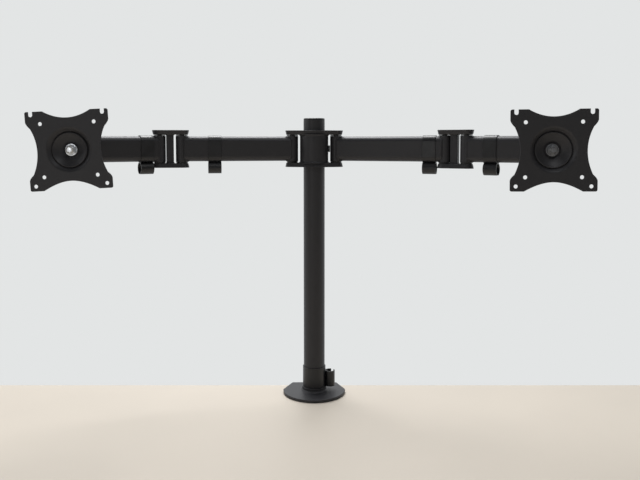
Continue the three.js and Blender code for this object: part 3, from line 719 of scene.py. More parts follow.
def clamp_bolt(mesh, x):
    seat = FLANGE_BACK + GAP + CLAMP_T + GAP
    level = (low_of("clamp_bolt_left").z + high_of("clamp_bolt_left").z) / 2
    along_y = shift(x, seat, level) @ spin(-90, "X")
    ring(mesh, along_y, soften([(3.2, 0), (6.2, 0, 0.3), (6.2, 1, 0.3), (3.2, 1)], steps=2), 40)
    hexagon(mesh, along_y, 10, 1, 4.2, 0.7)
    thread(mesh, along_y, 3, 1, BASE_BACK + GAP - seat, 0.5)


def clamp_pad(mesh):
    top, low = high_of("clamp_pad").z, low_of("clamp_pad").z
    bottom = top - 4
    hub = SCREW_R + 3
    grooves = []
    for r in (8, 12, 16):
        grooves += [(r, top), (r + 0.5, top - 0.5), (r + 1.2, top - 0.5), (r + 1.7, top)]
    profile = [(0, bottom), (SCREW_TIP_R + GAP, bottom), (SCREW_TIP_R + GAP, low), (hub, low, 0.8),
               (hub + 1, bottom - 1, 1), (hub + 3, bottom), (PAD_R - 1, bottom, 0.6),
               (PAD_R, bottom + 1.2, 0.8), (PAD_R, top, 1)] + grooves[::-1] + [(0, top)]
    lathe(mesh, HERE, soften(profile, False, 4), 72)


def clamp_screw(mesh):
    low, high = low_of("clamp_screw").z, high_of("clamp_screw").z
    neck = low_of("clamp_pad").z
    thread(mesh, HERE, SCREW_R, SCREW_PITCH, low, neck - 1)
    tip = [(0, neck - 1.6), (SCREW_TIP_R, neck - 1.6), (SCREW_TIP_R, high, 0.5), (0, high)]
    lathe(mesh, HERE, soften(tip, False), 32)


def clamp_knob(mesh):
    low, high = low_of("clamp_knob").z, high_of("clamp_knob").z
    shoulder = high - 5
    size = size_of("clamp_knob").x / 2
    wave = 1.6
    lobes = 6

    def radius_at(angle):
        return size - wave + wave * math.cos(math.radians(lobes * angle))
    slab(mesh, HERE, (polar(radius_at, 144), rounded_rim(low, shoulder, 2.4, steps=6)),
         (circle(SCREW_R + GAP, 40), [(0.4, low), (0, low + 0.4), (0, shoulder - 0.1), (0, shoulder)]))
    ring(mesh, HERE,
         soften([(SCREW_R + GAP, shoulder - 1), (SCREW_R + 5.5, shoulder - 1),
                 (SCREW_R + 4, shoulder + 1, 1), (SCREW_R + 4, high, 1), (SCREW_R + GAP, high, 0.4)]), 48)
    lathe(mesh, HERE,
          soften([(0, low + 0.3), (SCREW_R + 1, low + 0.3), (SCREW_R + 1, low + 3.5), (0, low + 3.5)],
                 False), 40)


# ---- Hinges ----
def sunk_rim(low, high):
    """The rim of a pin's hole: straight, then a countersink for the head."""
    wide = PIN_HEAD_R - PIN_R
    return [(0.3, low), (0, low + 0.3), (0, high - PIN_HEAD_CONE - 0.5), (wide, high - 0.9),
            (wide, high - 0.25), (wide + 0.25, high)]


def flange(mesh, place, outline, low, high, draft, *holes, up=True):
    """A hinge flange, its holes sunk on the outer face and its edge drawn in towards the inner."""
    turned_over = place if up else place @ spin(180, "X")
    if not up:
        outline = [(x, -y) for x, y in outline][::-1]
        holes = [([(x, -y) for x, y in points][::-1], rim) for points, rim in holes]
    slab(mesh, turned_over, (outline, rounded_rim(low, high, 0.6, draft)), *holes)


def pin_hole(x, low=FLANGE_INNER, high=FLANGE_OUTER, sunk=True):
    rim = sunk_rim(low, high) if sunk else [(0.3, low), (0, low + 0.3), (0, high - 0.4), (0.4, high)]
    return circle(PIN_R + GAP, 40, x), rim


def hinge_pin(mesh, place, top, bottom):
    face = top - GAP
    head = [(PIN_HEAD_R - PIN_R, face - PIN_HEAD_CONE), (0, face - 0.3), (0.25, face)]
    outline = circle(PIN_HEAD_R - 0.1, 48)
    slab(mesh, place, (outline, head),
         (polar(hex_radius(5), 48), [(0, face - PIN_HEAD_CONE), (0, face - 0.3), (0.3, face)]))
    lathe(mesh, place,
          soften([(0, bottom + GAP), (PIN_R, bottom + GAP, 0.8), (PIN_R, face - PIN_HEAD_CONE + 0.3),
                  (0, face - PIN_HEAD_CONE + 0.3)], False, 3), 40)


def washer(mesh, place, low):
    high = low + WASHER_T
    ring(mesh, place,
         soften([(PIN_R + 0.2, low, 0.2), (WASHER_R, low, 0.3), (WASHER_R, high, 0.3),
                 (PIN_R + 0.2, high, 0.2)], steps=2), 48)


def wrapped(radius, reach, lobe=LOBE_R):
    """Outline of round ends of radius lobe at each end, wrapped over a round of radius at the middle."""
    lean = math.degrees(math.acos((radius - lobe) / reach))
    return (arc(lobe, -lean, lean, 20, reach) + arc(radius, lean, 180 - lean, 20) +
            arc(lobe, 180 - lean, 180 + lean, 20, -reach) + arc(radius, 180 + lean, 360 - lean, 20))


def centre_bracket(mesh):
    place = shift(z=LEVEL)
    draft = bpy.context.scene.arm_sizes.flange_draft / MM
    outline = wrapped(COLLAR_R, SHOULDER_AT)
    bore = (circle(SLEEVE_R + GAP, 96),
            [(0.5, FLANGE_INNER), (0, FLANGE_INNER + 0.5), (0, FLANGE_OUTER - 0.5), (0.5, FLANGE_OUTER)])
    for up in (True, False):
        flange(mesh, place, outline, FLANGE_INNER, FLANGE_OUTER, draft, bore, pin_hole(SHOULDER_AT, sunk=up),
               pin_hole(-SHOULDER_AT, sunk=up), up=up)
    reach = FLANGE_INNER + 1
    inside = SLEEVE_R + GAP
    ring(mesh, place,
         soften([(inside, -reach), (COLLAR_R + 2, -reach), (COLLAR_R + 2, -FLANGE_INNER, 0.5),
                 (COLLAR_R, -FLANGE_INNER + 2, 2), (COLLAR_R, FLANGE_INNER - 2, 2),
                 (COLLAR_R + 2, FLANGE_INNER, 0.5), (COLLAR_R + 2, reach), (inside, reach)]), 96)


def collar_sleeve(mesh):
    inner, outer = POLE_R + GAP, SLEEVE_R
    place = shift(z=LEVEL)
    ring(mesh, place,
         soften([(inner, -FLANGE_OUTER, 0.3), (outer, -FLANGE_OUTER, 0.3), (outer, FLANGE_OUTER, 0.3),
                 (inner, FLANGE_OUTER, 0.3)], steps=2), 96)


def lock_screw(mesh):
    low, high = low_of("lock_screw").x, high_of("lock_screw").x
    place = shift(z=LEVEL) @ spin(90, "Y")
    radius = size_of("lock_screw").z / 2
    seat = COLLAR_R + GAP
    rim = [(0, seat), (0, high - 1.2), (0.3, high - 0.5), (1, high)]
    slab(mesh, place, (circle(radius, 48), rim),
         (polar(hex_radius(4), 48), [(0, seat), (0, high - 0.3), (0.3, high)]))
    lathe(mesh, place,
          soften([(0, seat - 2), (radius - 1, seat - 2), (radius - 1, seat + 0.6), (0, seat + 0.6)], False),
          32)
    thread(mesh, place, 3, 1, low, seat - 0.5, 20)


# ---- Arms ----
def arm_tube(mesh, place, length):
    outline = box_outline(TUBE_WIDTH, TUBE_HEIGHT, TUBE_CORNER, 10)
    side_at = 3.6

    def reach(y, embed=0.4):
        return max(math.sqrt(max(0, BARREL_R ** 2 - y * y)) - embed, side_at)
    near = [(reach(y), y, z) for y, z in outline]
    far = [(length - reach(y), y, z) for y, z in outline]
    inner_near = [(side_at, y * 0.8, z * 0.9) for y, z in outline]
    inner_far = [(length - side_at, y * 0.8, z * 0.9) for y, z in outline]
    mid = [[(length * f, y, z) for y, z in outline] for f in (0.25, 0.5, 0.75)]
    skin(mesh, place, [inner_near, near] + mid + [far, inner_far])
    radius = bpy.context.scene.arm_sizes.weld_bead / MM
    for start, sign in ((0, 1), (length, -1)):
        ring(mesh, place @ shift(start),
             soften([(PIN_R + GAP, -BARREL_HALF, 0.4), (BARREL_R, -BARREL_HALF, 0.6),
                     (BARREL_R, BARREL_HALF, 0.6), (PIN_R + GAP, BARREL_HALF, 0.4)], steps=4), 72)
        dense = box_outline(TUBE_WIDTH - 0.6, TUBE_HEIGHT - 0.6, TUBE_CORNER - 0.3, 16)
        dense = resample(dense, 1.1)
        path = [(start + sign * (reach(y, 0) + 0.1), y, z) for y, z in dense]
        bead(mesh, place, path, radius, (1, 0, 0))


def resample(points, step):
    """The closed outline as points at an even step."""
    points = [Vector(p) for p in points] + [Vector(points[0])]
    total = sum((b - a).length for a, b in zip(points, points[1:]))
    count = round(total / step)
    made, walked, index = [], 0.0, 0
    for k in range(count):
        target = total * k / count
        while walked + (points[index + 1] - points[index]).length < target:
            walked += (points[index + 1] - points[index]).length
            index += 1
        span = (points[index + 1] - points[index]).length
        made.append(tuple(points[index].lerp(points[index + 1], (target - walked) / span)))
    return made


def elbow_link(mesh, side, place, length):
    sizes = bpy.context.scene.arm_sizes
    outline = arc(LOBE_R, -90, 90, 28, length) + arc(LOBE_R, 90, 270, 28)
    for up in (True, False):
        holes = (pin_hole(0, sunk=up), pin_hole(length, sunk=up))
        flange(mesh, place, outline, FLANGE_INNER, FLANGE_OUTER, sizes.flange_draft / MM, *holes, up=up)
    near = max(TUBE_WIDTH / 2, BARREL_R) + 2 * GAP
    width = length - BARREL_R - LINK_WEB_CLEAR - near
    middle = near + width / 2
    web_place = place @ shift(length - middle if side == "left" else middle)
    reach = FLANGE_INNER + 1
    slab(mesh, web_place, (box_outline(width, LINK_WEB_DEPTH, 1.2, 4), [(0, -reach), (0, 0), (0, reach)]))
    for level in (-FLANGE_INNER, FLANGE_INNER):
        path = [(x, y, level) for x, y in resample(box_outline(width, LINK_WEB_DEPTH, 1.6, 6), 1.1)]
        bead(mesh, web_place, path, sizes.weld_bead / MM * 1.2, (0, 0, 1))


def arm_clip(mesh, place):
    """A snap-on band round the tube, drawn along +Z of the place, with its cable ring below."""
    half = CLIP_LENGTH / 2
    grip = (TUBE_WIDTH + 2 * GAP, TUBE_HEIGHT + 2 * GAP, TUBE_CORNER + GAP)
    inner = box_outline(*grip, 10)
    outer = box_outline(grip[0] + 2 * CLIP_WALL, grip[1] + 2 * CLIP_WALL, grip[2] + CLIP_WALL, 10)
    slab(mesh, place, (outer, rounded_rim(-half, half, 0.5)),
         (inner, rounded_rim(-half, half, 0.25, steps=1)))
    ring_place = place @ shift(0, -TUBE_HEIGHT / 2 - GAP - CLIP_RING_R) @ spin(-90, "Z")
    open_ring(mesh, ring_place, CLIP_RING_R, -half, half)


# ---- Heads ----
def bowl_profile(inner, outer, start, end, edge=0.5):
    """Section of a spherical shell open towards the front, between two angles from the back."""
    steps = 12
    angles = [start + (end - start) * i / steps for i in range(steps + 1)]
    trim = math.degrees(edge / outer)
    back = [on_sphere(outer, a) for a in [start] + angles[1:-1] + [end - trim]]
    lip = [on_sphere(outer - edge * 0.3, end - trim * 0.3), on_sphere(outer - edge, end),
           on_sphere(inner + edge, end), on_sphere(inner + edge * 0.3, end - trim * 0.3)]
    front = [on_sphere(inner, a) for a in [end - trim] + angles[1:-1][::-1] + [start]]
    return back + lip + front


def head_bracket(mesh, side):
    place, ball_at = head_place(side)
    half = FORK_WIDTH / 2
    middle = EAR_TOP - EAR_T / 2
    wall = FORK_WALL_AT + EAR_T / 2
    tip = [(-half * math.sin(math.radians(a)), middle) for a in (86, 76, 66, 54, 42, 28, 14, 0)]
    bend = soften([(0, middle), (wall, middle, 5), (wall, -middle, 5), (0, -middle)], False, 8)
    mirror = [(x, -z) for x, z in tip[::-1]]
    path = [(x, 0, z) for x, z in tip[:-1] + bend + mirror[1:]]

    def width_at(i):
        x = path[i][0]
        return half if x >= 0 else math.sqrt(max(0.2, half * half - x * x))
    strap(mesh, place, path, width_at, EAR_T)
    cup_at = ball_at - CUP_BACK
    axle = place @ FACE
    front = FORK_WALL_AT + EAR_T
    ring(mesh, axle,
         soften([(PIN_R + GAP, front - 1), (NECK_R + 2, front - 1), (NECK_R + 2, front, 0.3),
                 (NECK_R, front + 2, 1.6), (NECK_R, cup_at - 0.5, 3), (NECK_R + 6, cup_at + 2.4),
                 (PIN_R + GAP, cup_at + 2.4)]), 72)
    ring(mesh, axle @ shift(z=ball_at), bowl_profile(CUP_FRONT, CUP_BACK, 6, 32), 96)


def pin_cutter(mesh, place):
    bore = PIN_R + GAP
    lathe(mesh, place,
          [(0, -EAR_TOP - 2), (bore, -EAR_TOP - 2), (bore, EAR_TOP - PIN_HEAD_CONE - 0.5),
           (PIN_HEAD_R + GAP, EAR_TOP - 0.9), (PIN_HEAD_R + GAP, EAR_TOP + 2), (0, EAR_TOP + 2)], 40)


def head_bolt(mesh, side):
    place, ball_at = head_place(side)
    axle = place @ FACE
    seat = FORK_WALL_AT - GAP
    ring(mesh, axle,
         soften([(4.2, seat - 1.1), (7.9, seat - 1.1, 0.4), (7.9, seat, 0.3), (4.2, seat)], steps=2), 48)
    hexagon(mesh, axle, 12.9, seat - 3.6, seat - 1.1, 0.8)
    tip = ball_at - CUP_WASHER_R + CUP_WASHER_T + GAP + NUT_T + BOLT_PROUD
    lathe(mesh, axle, [(0, seat - 0.6), (PIN_R - 0.1, seat - 0.6), (PIN_R - 0.1, tip - 12), (0, tip - 12)],
          40)
    thread(mesh, axle, PIN_R, 1.25, tip - 13, tip, 32, 8)


def cup_washer(mesh, side):
    place, ball_at = head_place(side)
    inner = CUP_WASHER_R - CUP_WASHER_T
    edge = 0.8
    trim = CUP_WASHER_ANGLE - edge
    floor = -inner
    seat_angle = math.degrees(math.asin(NUT_SEAT_R / inner))
    start = math.degrees(math.asin((PIN_R + GAP) / CUP_WASHER_R))
    back = [on_sphere(CUP_WASHER_R, start + (trim - start) * i / 12) for i in range(13)]
    lip = [on_sphere(CUP_WASHER_R - 0.6, CUP_WASHER_ANGLE), on_sphere(inner + 0.6, CUP_WASHER_ANGLE)]
    front = [on_sphere(inner, trim - (trim - seat_angle - 3) * i / 10) for i in range(11)]
    seat = [(NUT_SEAT_R + edge, floor + 0.3), (NUT_SEAT_R, floor), (PIN_R + GAP, floor)]
    ring(mesh, place @ FACE @ shift(z=ball_at), back + lip + front + seat, 96)


def head_nut(mesh, side):
    place, ball_at = head_place(side)
    seat = ball_at - CUP_WASHER_R + CUP_WASHER_T + GAP
    axle = place @ FACE @ shift(z=seat)
    ring(mesh, axle, soften([(PIN_R + 0.1, 0), (8.6, 0, 0.3), (8.6, 1.2, 0.4), (PIN_R + 0.1, 1.2)], steps=2),
         48)
    hexagon(mesh, axle, NUT_AF, 1.2, 6.4, 0.9)
    lathe(mesh, axle,
          soften([(0, 5), (5.9, 5), (5.9, NUT_T - 0.4, 1.2), (4.9, NUT_T, 0.3), (4.9, NUT_T - 0.6),
                  (0, NUT_T - 0.6)], False, 4), 56)


def nut_insert(mesh, side):
    place, ball_at = head_place(side)
    seat = ball_at - CUP_WASHER_R + CUP_WASHER_T + GAP
    ring(mesh, place @ FACE @ shift(z=seat),
         soften([(PIN_R + 0.05, NUT_T - 1), (4.85, NUT_T - 1), (4.85, NUT_T - 0.1, 0.2),
                 (PIN_R + 0.05, NUT_T - 0.1, 0.2)], steps=2), 48)


def head_liner(mesh, side):
    inner = DISH_R + PLATE_T + GAP
    ring(mesh, ball_place(side), bowl_profile(inner, inner + LINER_T, DISH_HOLE_ANGLE, 33, 0.3), 96)


def plate_outline():
    """The monitor plate from its top right corner clockwise, then turned to run anticlockwise."""
    w, top, bottom = 58, 55, -57
    slot_x, slot_r, slot_floor = VESA_LARGE / 2, 2.85, 47.6
    waist = 44.3
    flat = 15
    half = arc(2.5, 90, 0, 5, w - 2.5, top - 2.5)
    half.append((w, top - flat))
    half += curve(half[-1], (w - 1, top - flat - 4), (w - 6, top - flat - 9), 6)
    half += curve(half[-1], (waist, 16), (waist, -1), 14)
    half += curve(half[-1], (waist, -18), (w - 6, bottom + flat + 8), 14)
    half += curve(half[-1], (w - 1, bottom + flat + 4), (w, bottom + flat), 6)
    half += arc(2.5, 0, -90, 5, w - 2.5, bottom + 2.5)
    half.append((39, bottom))
    half += curve(half[-1], (17, -waist), (0, -waist), 14)
    slot = [(slot_x - slot_r, top)]
    slot += arc(slot_r, 180, 360, 12, slot_x, slot_floor + slot_r)
    slot.append((slot_x + slot_r, top))
    crest = curve((0, waist + 0.7), (17, waist + 0.7), (33.5, top), 14)
    right = crest + slot + half
    left = [(-x, y) for x, y in right[:-1]][::-1]
    clockwise = [(0, waist + 0.7)] + right + left
    return clockwise[::-1]


def vesa_plate(mesh, side):
    place = ball_place(side)
    front = -math.sqrt(DISH_R ** 2 - DISH_RIM_R ** 2)
    back = front - PLATE_T
    edge = bpy.context.scene.arm_sizes.plate_edge / MM
    join = DISH_RIM_R + 2.4
    sides = 96
    small, large = VESA_SMALL / 2, VESA_LARGE / 2
    holes = [(x * small, y * small) for x in (-1, 1) for y in (-1, 1)] + [(-large, -large), (large, -large)]
    loops = [(circle(MOUNT_HOLE_R, 28, x, y), rounded_rim(back, front, 0.3, steps=2)) for x, y in holes]
    slab(mesh, place, (plate_outline(), rounded_rim(back, front, edge)), *loops,
         (circle(join, sides), [(0, back), (0, front)]))
    # The wall of that last hole gives way to the pressed dish
    rim = set()
    for face in list(mesh.faces):
        centre = place.inverted() @ face.calc_center_median()
        if abs(math.hypot(centre.x, centre.y) - join) < 0.1 and back + 0.1 < centre.z < front - 0.1:
            rim.add(face)
    bmesh.ops.delete(mesh, geom=list(rim), context="FACES_ONLY")
    lip = math.degrees(math.asin(DISH_RIM_R / DISH_R)) - 2.5
    outer_r = DISH_R + PLATE_T
    hole = DISH_HOLE_ANGLE
    front_lip = [(join, front)]
    front_lip += curve((join, front), (DISH_RIM_R + 0.2, front), on_sphere(DISH_R, lip), 8)
    inside = [on_sphere(DISH_R, lip + (hole - lip) * i / 16) for i in range(1, 17)]
    rolled = [on_sphere(DISH_R + PLATE_T / 2, hole - 0.5)]
    outside = [on_sphere(outer_r, hole + (lip - 1 - hole) * i / 16) for i in range(17)]
    back_lip = curve(outside[-1], (math.sqrt(outer_r ** 2 - back ** 2), back), (join, back), 8)
    lathe(mesh, place, front_lip + inside + rolled + outside + back_lip, sides, "open")


# ---- Add-on: sizes, finishes, operators and panel ----
class ArmSizes(bpy.types.PropertyGroup):
    """Sizes that shape the look and aren't set by the CAD frame"""

    flange_draft: FloatProperty(
        name="Flange draft", description="How far a hinge flange's edge draws in towards the tube",
        default=0.0014, min=0, max=0.003, unit="LENGTH")
    weld_bead: FloatProperty(
        name="Weld bead", description="Radius of the weld round a tube's end",
        default=0.0011, min=0.0005, max=0.002, unit="LENGTH")
    plate_edge: FloatProperty(
        name="Plate edge", description="Rounding of the monitor plate's edge under its coat",
        default=0.0005, min=0.0001, max=0.0009, unit="LENGTH")
    desk_width: FloatProperty(
        name="Desk width", description="Width of the plain desk top that the clamp holds",
        default=6.0, min=1, unit="LENGTH")
    desk_depth: FloatProperty(
        name="Desk depth", description="Depth of the plain desk top",
        default=3.0, min=1, unit="LENGTH")


class ArmFinishes(bpy.types.PropertyGroup):
    """Colours that a user would change"""

    powder_coat: FloatVectorProperty(
        name="Powder coat", description="Colour of the coated steel",
        default=srgb("#111318"), size=4, min=0, max=1, subtype="COLOR")
    moulded_plastic: FloatVectorProperty(
        name="Moulded plastic", description="Colour of the clips, cap, pad and knob",
        default=srgb("#131418"), size=4, min=0, max=1, subtype="COLOR")
    zinc_plate: FloatVectorProperty(
        name="Zinc plate", description="Colour of the bright screws and nuts",
        default=srgb("#eef1f5"), size=4, min=0, max=1, subtype="COLOR")
    desk: FloatVectorProperty(
        name="Desk", description="Colour of the plain desk top",
        default=srgb("#c6bdb1"), size=4, min=0, max=1, subtype="COLOR")
    backdrop: FloatVectorProperty(
        name="Backdrop", description="Colour of the plain wall behind",
        default=srgb("#e3e5e5"), size=4, min=0, max=1, subtype="COLOR")


class ARM_OT_stand(bpy.types.Operator):
    """Base plate with its pad, pole, cap and the cable clip at the pole's foot"""

    bl_idname = "monitor_arm.stand"
    bl_label = "Stand"

    def execute(self, context):
        pieces = (("base_pad", "foam", "foam", material("eva_foam", eva_foam), base_pad),
                  ("base_plate", "steel", "powder_coated_steel", coat(), base_plate),
                  ("pole", "tube", "powder_coated_steel", coat(), pole_tube),
                  ("pole_cap", "moulded", "moulded_plastic", abs_plastic(), pole_cap),
                  ("pole_clip", "moulded", "moulded_plastic", abs_plastic(), pole_clip))
        for node, word, slot, finish, draw in pieces:
            make(f"{node}_{word}", "stand", slot, finish, [node], draw)
        for node in ("pole_plug", "pole_bolt"):
            data = frame["nodes"][node].data
            data.materials.clear()
            data.materials.append(bright_zinc())
        return {"FINISHED"}


class ARM_OT_clamp(bpy.types.Operator):
    """Desk clamp: bracket, bolts, pressure pad, screw and knob"""

    bl_idname = "monitor_arm.clamp"
    bl_label = "Desk clamp"

    def execute(self, context):
        make("clamp_bracket_steel", "stand", "powder_coated_steel", coat(), ["clamp_bracket"], clamp_bracket)
        for name in ("clamp_bolt_left", "clamp_bolt_right"):
            middle = (low_of(name).x + high_of(name).x) / 2
            make(f"{name}_zinc", "stand", "zinc_steel", bright_zinc(), [name], clamp_bolt, middle)
        make("clamp_pad_moulded", "clamp_pad", "moulded_plastic", abs_plastic(), ["clamp_pad"], clamp_pad)
        make("clamp_screw_zinc", "clamp_screw", "zinc_steel", bright_zinc(), ["clamp_screw"], clamp_screw)
        make("clamp_knob_moulded", "clamp_screw", "moulded_plastic", abs_plastic(), ["clamp_knob"],
             clamp_knob)
        return {"FINISHED"}


class ARM_OT_collar(bpy.types.Operator):
    """Collar on the pole: its sleeve, its bracket with two pairs of flanges, and the lock screw"""

    bl_idname = "monitor_arm.collar"
    bl_label = "Collar"

    def execute(self, context):
        make("collar_sleeve_nylon", "sleeve", "nylon", nylon(), ["collar_sleeve"], collar_sleeve)
        make("centre_bracket_steel", "bracket", "powder_coated_steel", coat(), ["centre_bracket"],
             centre_bracket)
        make("lock_screw_black", "bracket", "zinc_steel", black_zinc(), ["lock_screw"], lock_screw)
        return {"FINISHED"}


class ARM_OT_hinges(bpy.types.Operator):
    """Hinge screws with their countersunk heads, and the nylon washers"""

    bl_idname = "monitor_arm.hinges"
    bl_label = "Hinge pins and washers"

    def execute(self, context):
        for side in SIDES:
            arm, _ = arm_place(side, "shoulder", "elbow_inner")
            link, length = arm_place(side, "elbow_inner", "elbow_outer")
            head, _ = head_place(side)
            spots = [("shoulder", "bracket", arm, FLANGE_OUTER),
                     ("elbow_inner", f"{side}_link", link, FLANGE_OUTER),
                     ("elbow_outer", f"{side}_link", link @ shift(length), FLANGE_OUTER),
                     ("head", f"{side}_head", head, EAR_TOP)]
            for name, body, place, top in spots:
                hinge = f"{side}_{name}"
                make(f"{hinge}_screw", body, "zinc_steel", black_zinc(), [f"{hinge}_pin"],
                     hinge_pin, place, top, -top)
                for word, low in (("upper", BARREL_HALF + GAP), ("lower", -BARREL_HALF - GAP - WASHER_T)):
                    nodes = [f"{hinge}_washer_{word}"] if name != "head" else []
                    make(f"{hinge}_{word}_nylon", body, "nylon", nylon(), nodes, washer, place, low)
        return {"FINISHED"}


class ARM_OT_arms(bpy.types.Operator):
    """The four arm tubes with their welded barrels"""

    bl_idname = "monitor_arm.arms"
    bl_label = "Arm tubes"

    def execute(self, context):
        for side in SIDES:
            for node, start, end, body in ARMS:
                place, length = arm_place(side, start, end)
                make(f"{side}_{node}_tube", f"{side}_{body}", "powder_coated_steel", coat(),
                     [f"{side}_{node}"], arm_tube, place, length)
        return {"FINISHED"}


class ARM_OT_links(bpy.types.Operator):
    """The elbow links between the arms"""

    bl_idname = "monitor_arm.links"
    bl_label = "Elbow links"

    def execute(self, context):
        for side in SIDES:
            place, length = arm_place(side, "elbow_inner", "elbow_outer")
            make(f"{side}_elbow_link_steel", f"{side}_link", "powder_coated_steel", coat(),
                 [f"{side}_elbow_link"], elbow_link, side, place, length)
        return {"FINISHED"}


class ARM_OT_clips(bpy.types.Operator):
    """The cable clips on the arms"""

    bl_idname = "monitor_arm.clips"
    bl_label = "Arm clips"

    def execute(self, context):
        for side in SIDES:
            for node, start, end, body in ARMS:
                place, _ = arm_place(side, start, end)
                name = f"{side}_{node}_clip"
                middle = (low_of(name) + high_of(name)) / 2
                along = (place.inverted() @ middle).x
                make(f"{name}_moulded", f"{side}_{body}", "moulded_plastic", abs_plastic(), [name],
                     arm_clip, place @ shift(along) @ FACE)
        return {"FINISHED"}


class ARM_OT_heads(bpy.types.Operator):
    """The ball-joint heads: fork and cup, liner, cup washer, bolt and lock nut"""

    bl_idname = "monitor_arm.heads"
    bl_label = "Heads"

    def execute(self, context):
        # The right head's bolt and nut take a darker copy of the bright zinc: painted shade.
        metal = {"left": bright_zinc(), "right": painted_shade_zinc()}
        # The right nut's ring is a grey copy of the pale nylon: painted shade.
        insert = {"left": material("natural_nylon", natural_nylon),
                  "right": material("painted_shade_nylon", painted_shade_nylon)}
        for side in SIDES:
            body = f"{side}_head"
            bracket = make(f"{side}_head_bracket_steel", body, "powder_coated_steel", coat(),
                           [f"{side}_head_bracket"], head_bracket, side)
            cut(bracket, pin_cutter, head_place(side)[0])
            pieces = (("head_bolt", "zinc", body, "zinc_steel", metal[side], head_bolt),
                      ("cup_washer", "steel", body, "powder_coated_steel", coat(), cup_washer),
                      ("head_nut", "zinc", body, "zinc_steel", metal[side], head_nut),
                      ("head_liner", "nylon", f"{side}_ball", "nylon", nylon(), head_liner))
            for node, word, rides, slot, finish, draw in pieces:
                make(f"{side}_{node}_{word}", rides, slot, finish, [f"{side}_{node}"], draw, side)
            make(f"{side}_nut_insert", body, "nylon", insert[side], [], nut_insert, side)
        return {"FINISHED"}


class ARM_OT_plates(bpy.types.Operator):
    """The two monitor plates with their pressed dishes"""

    bl_idname = "monitor_arm.plates"
    bl_label = "Monitor plates"

    def execute(self, context):
        for side in SIDES:
            make(f"{side}_plate_steel", f"{side}_plate", "powder_coated_steel", coat(),
                 [f"{side}_vesa_plate"], vesa_plate, side, merge=True)
        return {"FINISHED"}


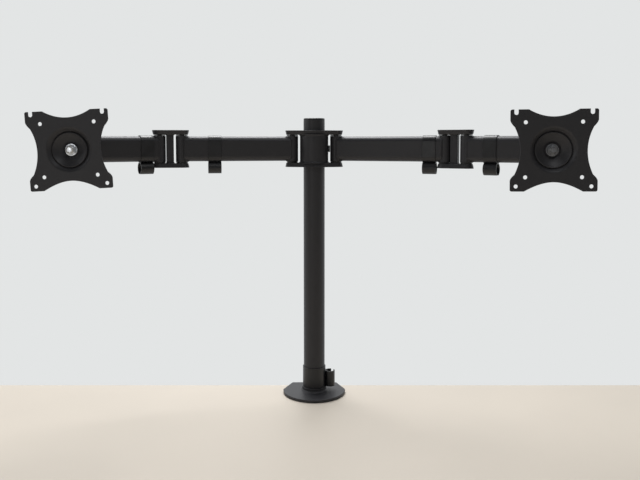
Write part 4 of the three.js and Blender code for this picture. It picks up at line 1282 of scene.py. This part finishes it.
class ARM_OT_stage(bpy.types.Operator):
    """Plain pale desk top, soft studio light and the camera"""

    bl_idname = "monitor_arm.stage"
    bl_label = "Stage"

    def execute(self, context):
        scene = context.scene
        sizes, look = scene.arm_sizes, scene.arm_finishes
        width, depth = sizes.desk_width / MM, sizes.desk_depth / MM
        thick = -MOUNTS["clamp_face"]["pos_m"][2] / MM - 0.1
        edge = BASE_BACK - 0.5
        outline = [(-width / 2, edge - depth), (width / 2, edge - depth), (width / 2, edge),
                   (-width / 2, edge)]
        mesh = bmesh.new()
        slab(mesh, HERE, (outline, rounded_rim(-thick, 0, 1)))
        data = mesh_data(mesh, "desk_top")
        desk = new_object("desk_top", data)

        def desk_laminate(tree, shader):
            """Plain pale melamine board: even, with a soft sheen."""
            pale = list(look.desk)
            mottle(tree, shader, (pale, [min(1, c * 1.04) for c in pale[:3]] + [1.0]), 4, 220, (0.5, 0.56),
                   (0.05, 0.02))
        data.materials.append(material("desk_laminate", desk_laminate))

        world = bpy.data.worlds.new("studio")
        scene.world = world
        world.use_nodes = True
        tree = world.node_tree
        shown = tree.nodes["Background"]
        shown.inputs["Color"].default_value = list(look.backdrop)
        place = add(tree, "ShaderNodeTexCoord")
        split = add(tree, "ShaderNodeSeparateXYZ", links={"Vector": (place, "Generated")})
        depth_fade = add(tree, "ShaderNodeMapRange",
                         {"From Min": -0.7, "From Max": 0.75, "To Min": 0.11, "To Max": 1.1},
                         {"Value": (split, "Y")}, interpolation_type="SMOOTHSTEP")
        lit = add(tree, "ShaderNodeBackground", {"Color": list(look.backdrop)}, {"Strength": (depth_fade, 0)})
        rays = add(tree, "ShaderNodeLightPath")
        add_mix = add(tree, "ShaderNodeMixShader",
                      links={0: (rays, "Is Camera Ray"), 1: (lit, 0), 2: (shown, 0)})
        tree.links.new(add_mix.outputs[0], tree.nodes["World Output"].inputs["Surface"])

        # Name, place, aim, size in metres and power in watts
        lamps = (("ceiling", (-0.2, 0.65, 1.8), (0, 0.1, 0.4), 1.0, 35),
                 ("window", (-2.4, -0.4, 1.3), (0, 0, 0.35), 1.6, 8),
                 ("overhead", (0.35, -0.9, 1.5), (0, -0.2, 0.4), 0.5, 2.4),
                 ("panel", (-0.95, -2.1, 0.42), (-0.34, -0.2, 0.41), 0.5, 1.9),
                 ("fill", (0.7, -2.5, 0.6), (0.2, 0, 0.4), 1.0, 1.0))
        for name, spot, aim, size, power in lamps:
            lamp = bpy.data.lights.new(name, "AREA")
            lamp.shape, lamp.size, lamp.energy = "SQUARE", size, power
            holder = new_object(name, lamp)
            holder.location = spot
            holder.rotation_euler = (Vector(aim) - Vector(spot)).to_track_quat("-Z", "Y").to_euler()

        lens = bpy.data.cameras.new("camera")
        lens.lens, lens.sensor_width = 39.03, 36
        lens.shift_y = -0.0866
        camera = new_object("camera", lens)
        camera.location = (0.0097, -1.1483, 0.4208)
        camera.rotation_euler = (math.radians(86.5), 0, 0)
        scene.camera = camera
        scene.view_settings.view_transform = "Standard"
        return {"FINISHED"}


PIECE_OPERATORS = (ARM_OT_stand, ARM_OT_clamp, ARM_OT_collar, ARM_OT_hinges, ARM_OT_arms,
                   ARM_OT_links, ARM_OT_clips, ARM_OT_heads, ARM_OT_plates, ARM_OT_stage)


class ARM_PT_panel(bpy.types.Panel):
    """Sizes, finishes and the pieces of the monitor arm"""

    bl_idname = "ARM_PT_panel"
    bl_label = "Monitor Arm"
    bl_space_type = "VIEW_3D"
    bl_region_type = "UI"
    bl_category = "Monitor Arm"

    def draw(self, context):
        for group in (context.scene.arm_sizes, context.scene.arm_finishes):
            for name in group.__annotations__:
                self.layout.prop(group, name)
        for operator in PIECE_OPERATORS:
            self.layout.operator(operator.bl_idname)


CLASSES = (ArmSizes, ArmFinishes) + PIECE_OPERATORS + (ARM_PT_panel,)


def register():
    for cls in CLASSES:
        bpy.utils.register_class(cls)
    bpy.types.Scene.arm_sizes = PointerProperty(type=ArmSizes)
    bpy.types.Scene.arm_finishes = PointerProperty(type=ArmFinishes)


def unregister():
    del bpy.types.Scene.arm_finishes
    del bpy.types.Scene.arm_sizes
    for cls in reversed(CLASSES):
        bpy.utils.unregister_class(cls)


def main():
    register()
    for operator in PIECE_OPERATORS:
        group, name = operator.bl_idname.split(".")
        getattr(getattr(bpy.ops, group), name)()


if __name__ == "__main__":
    main()
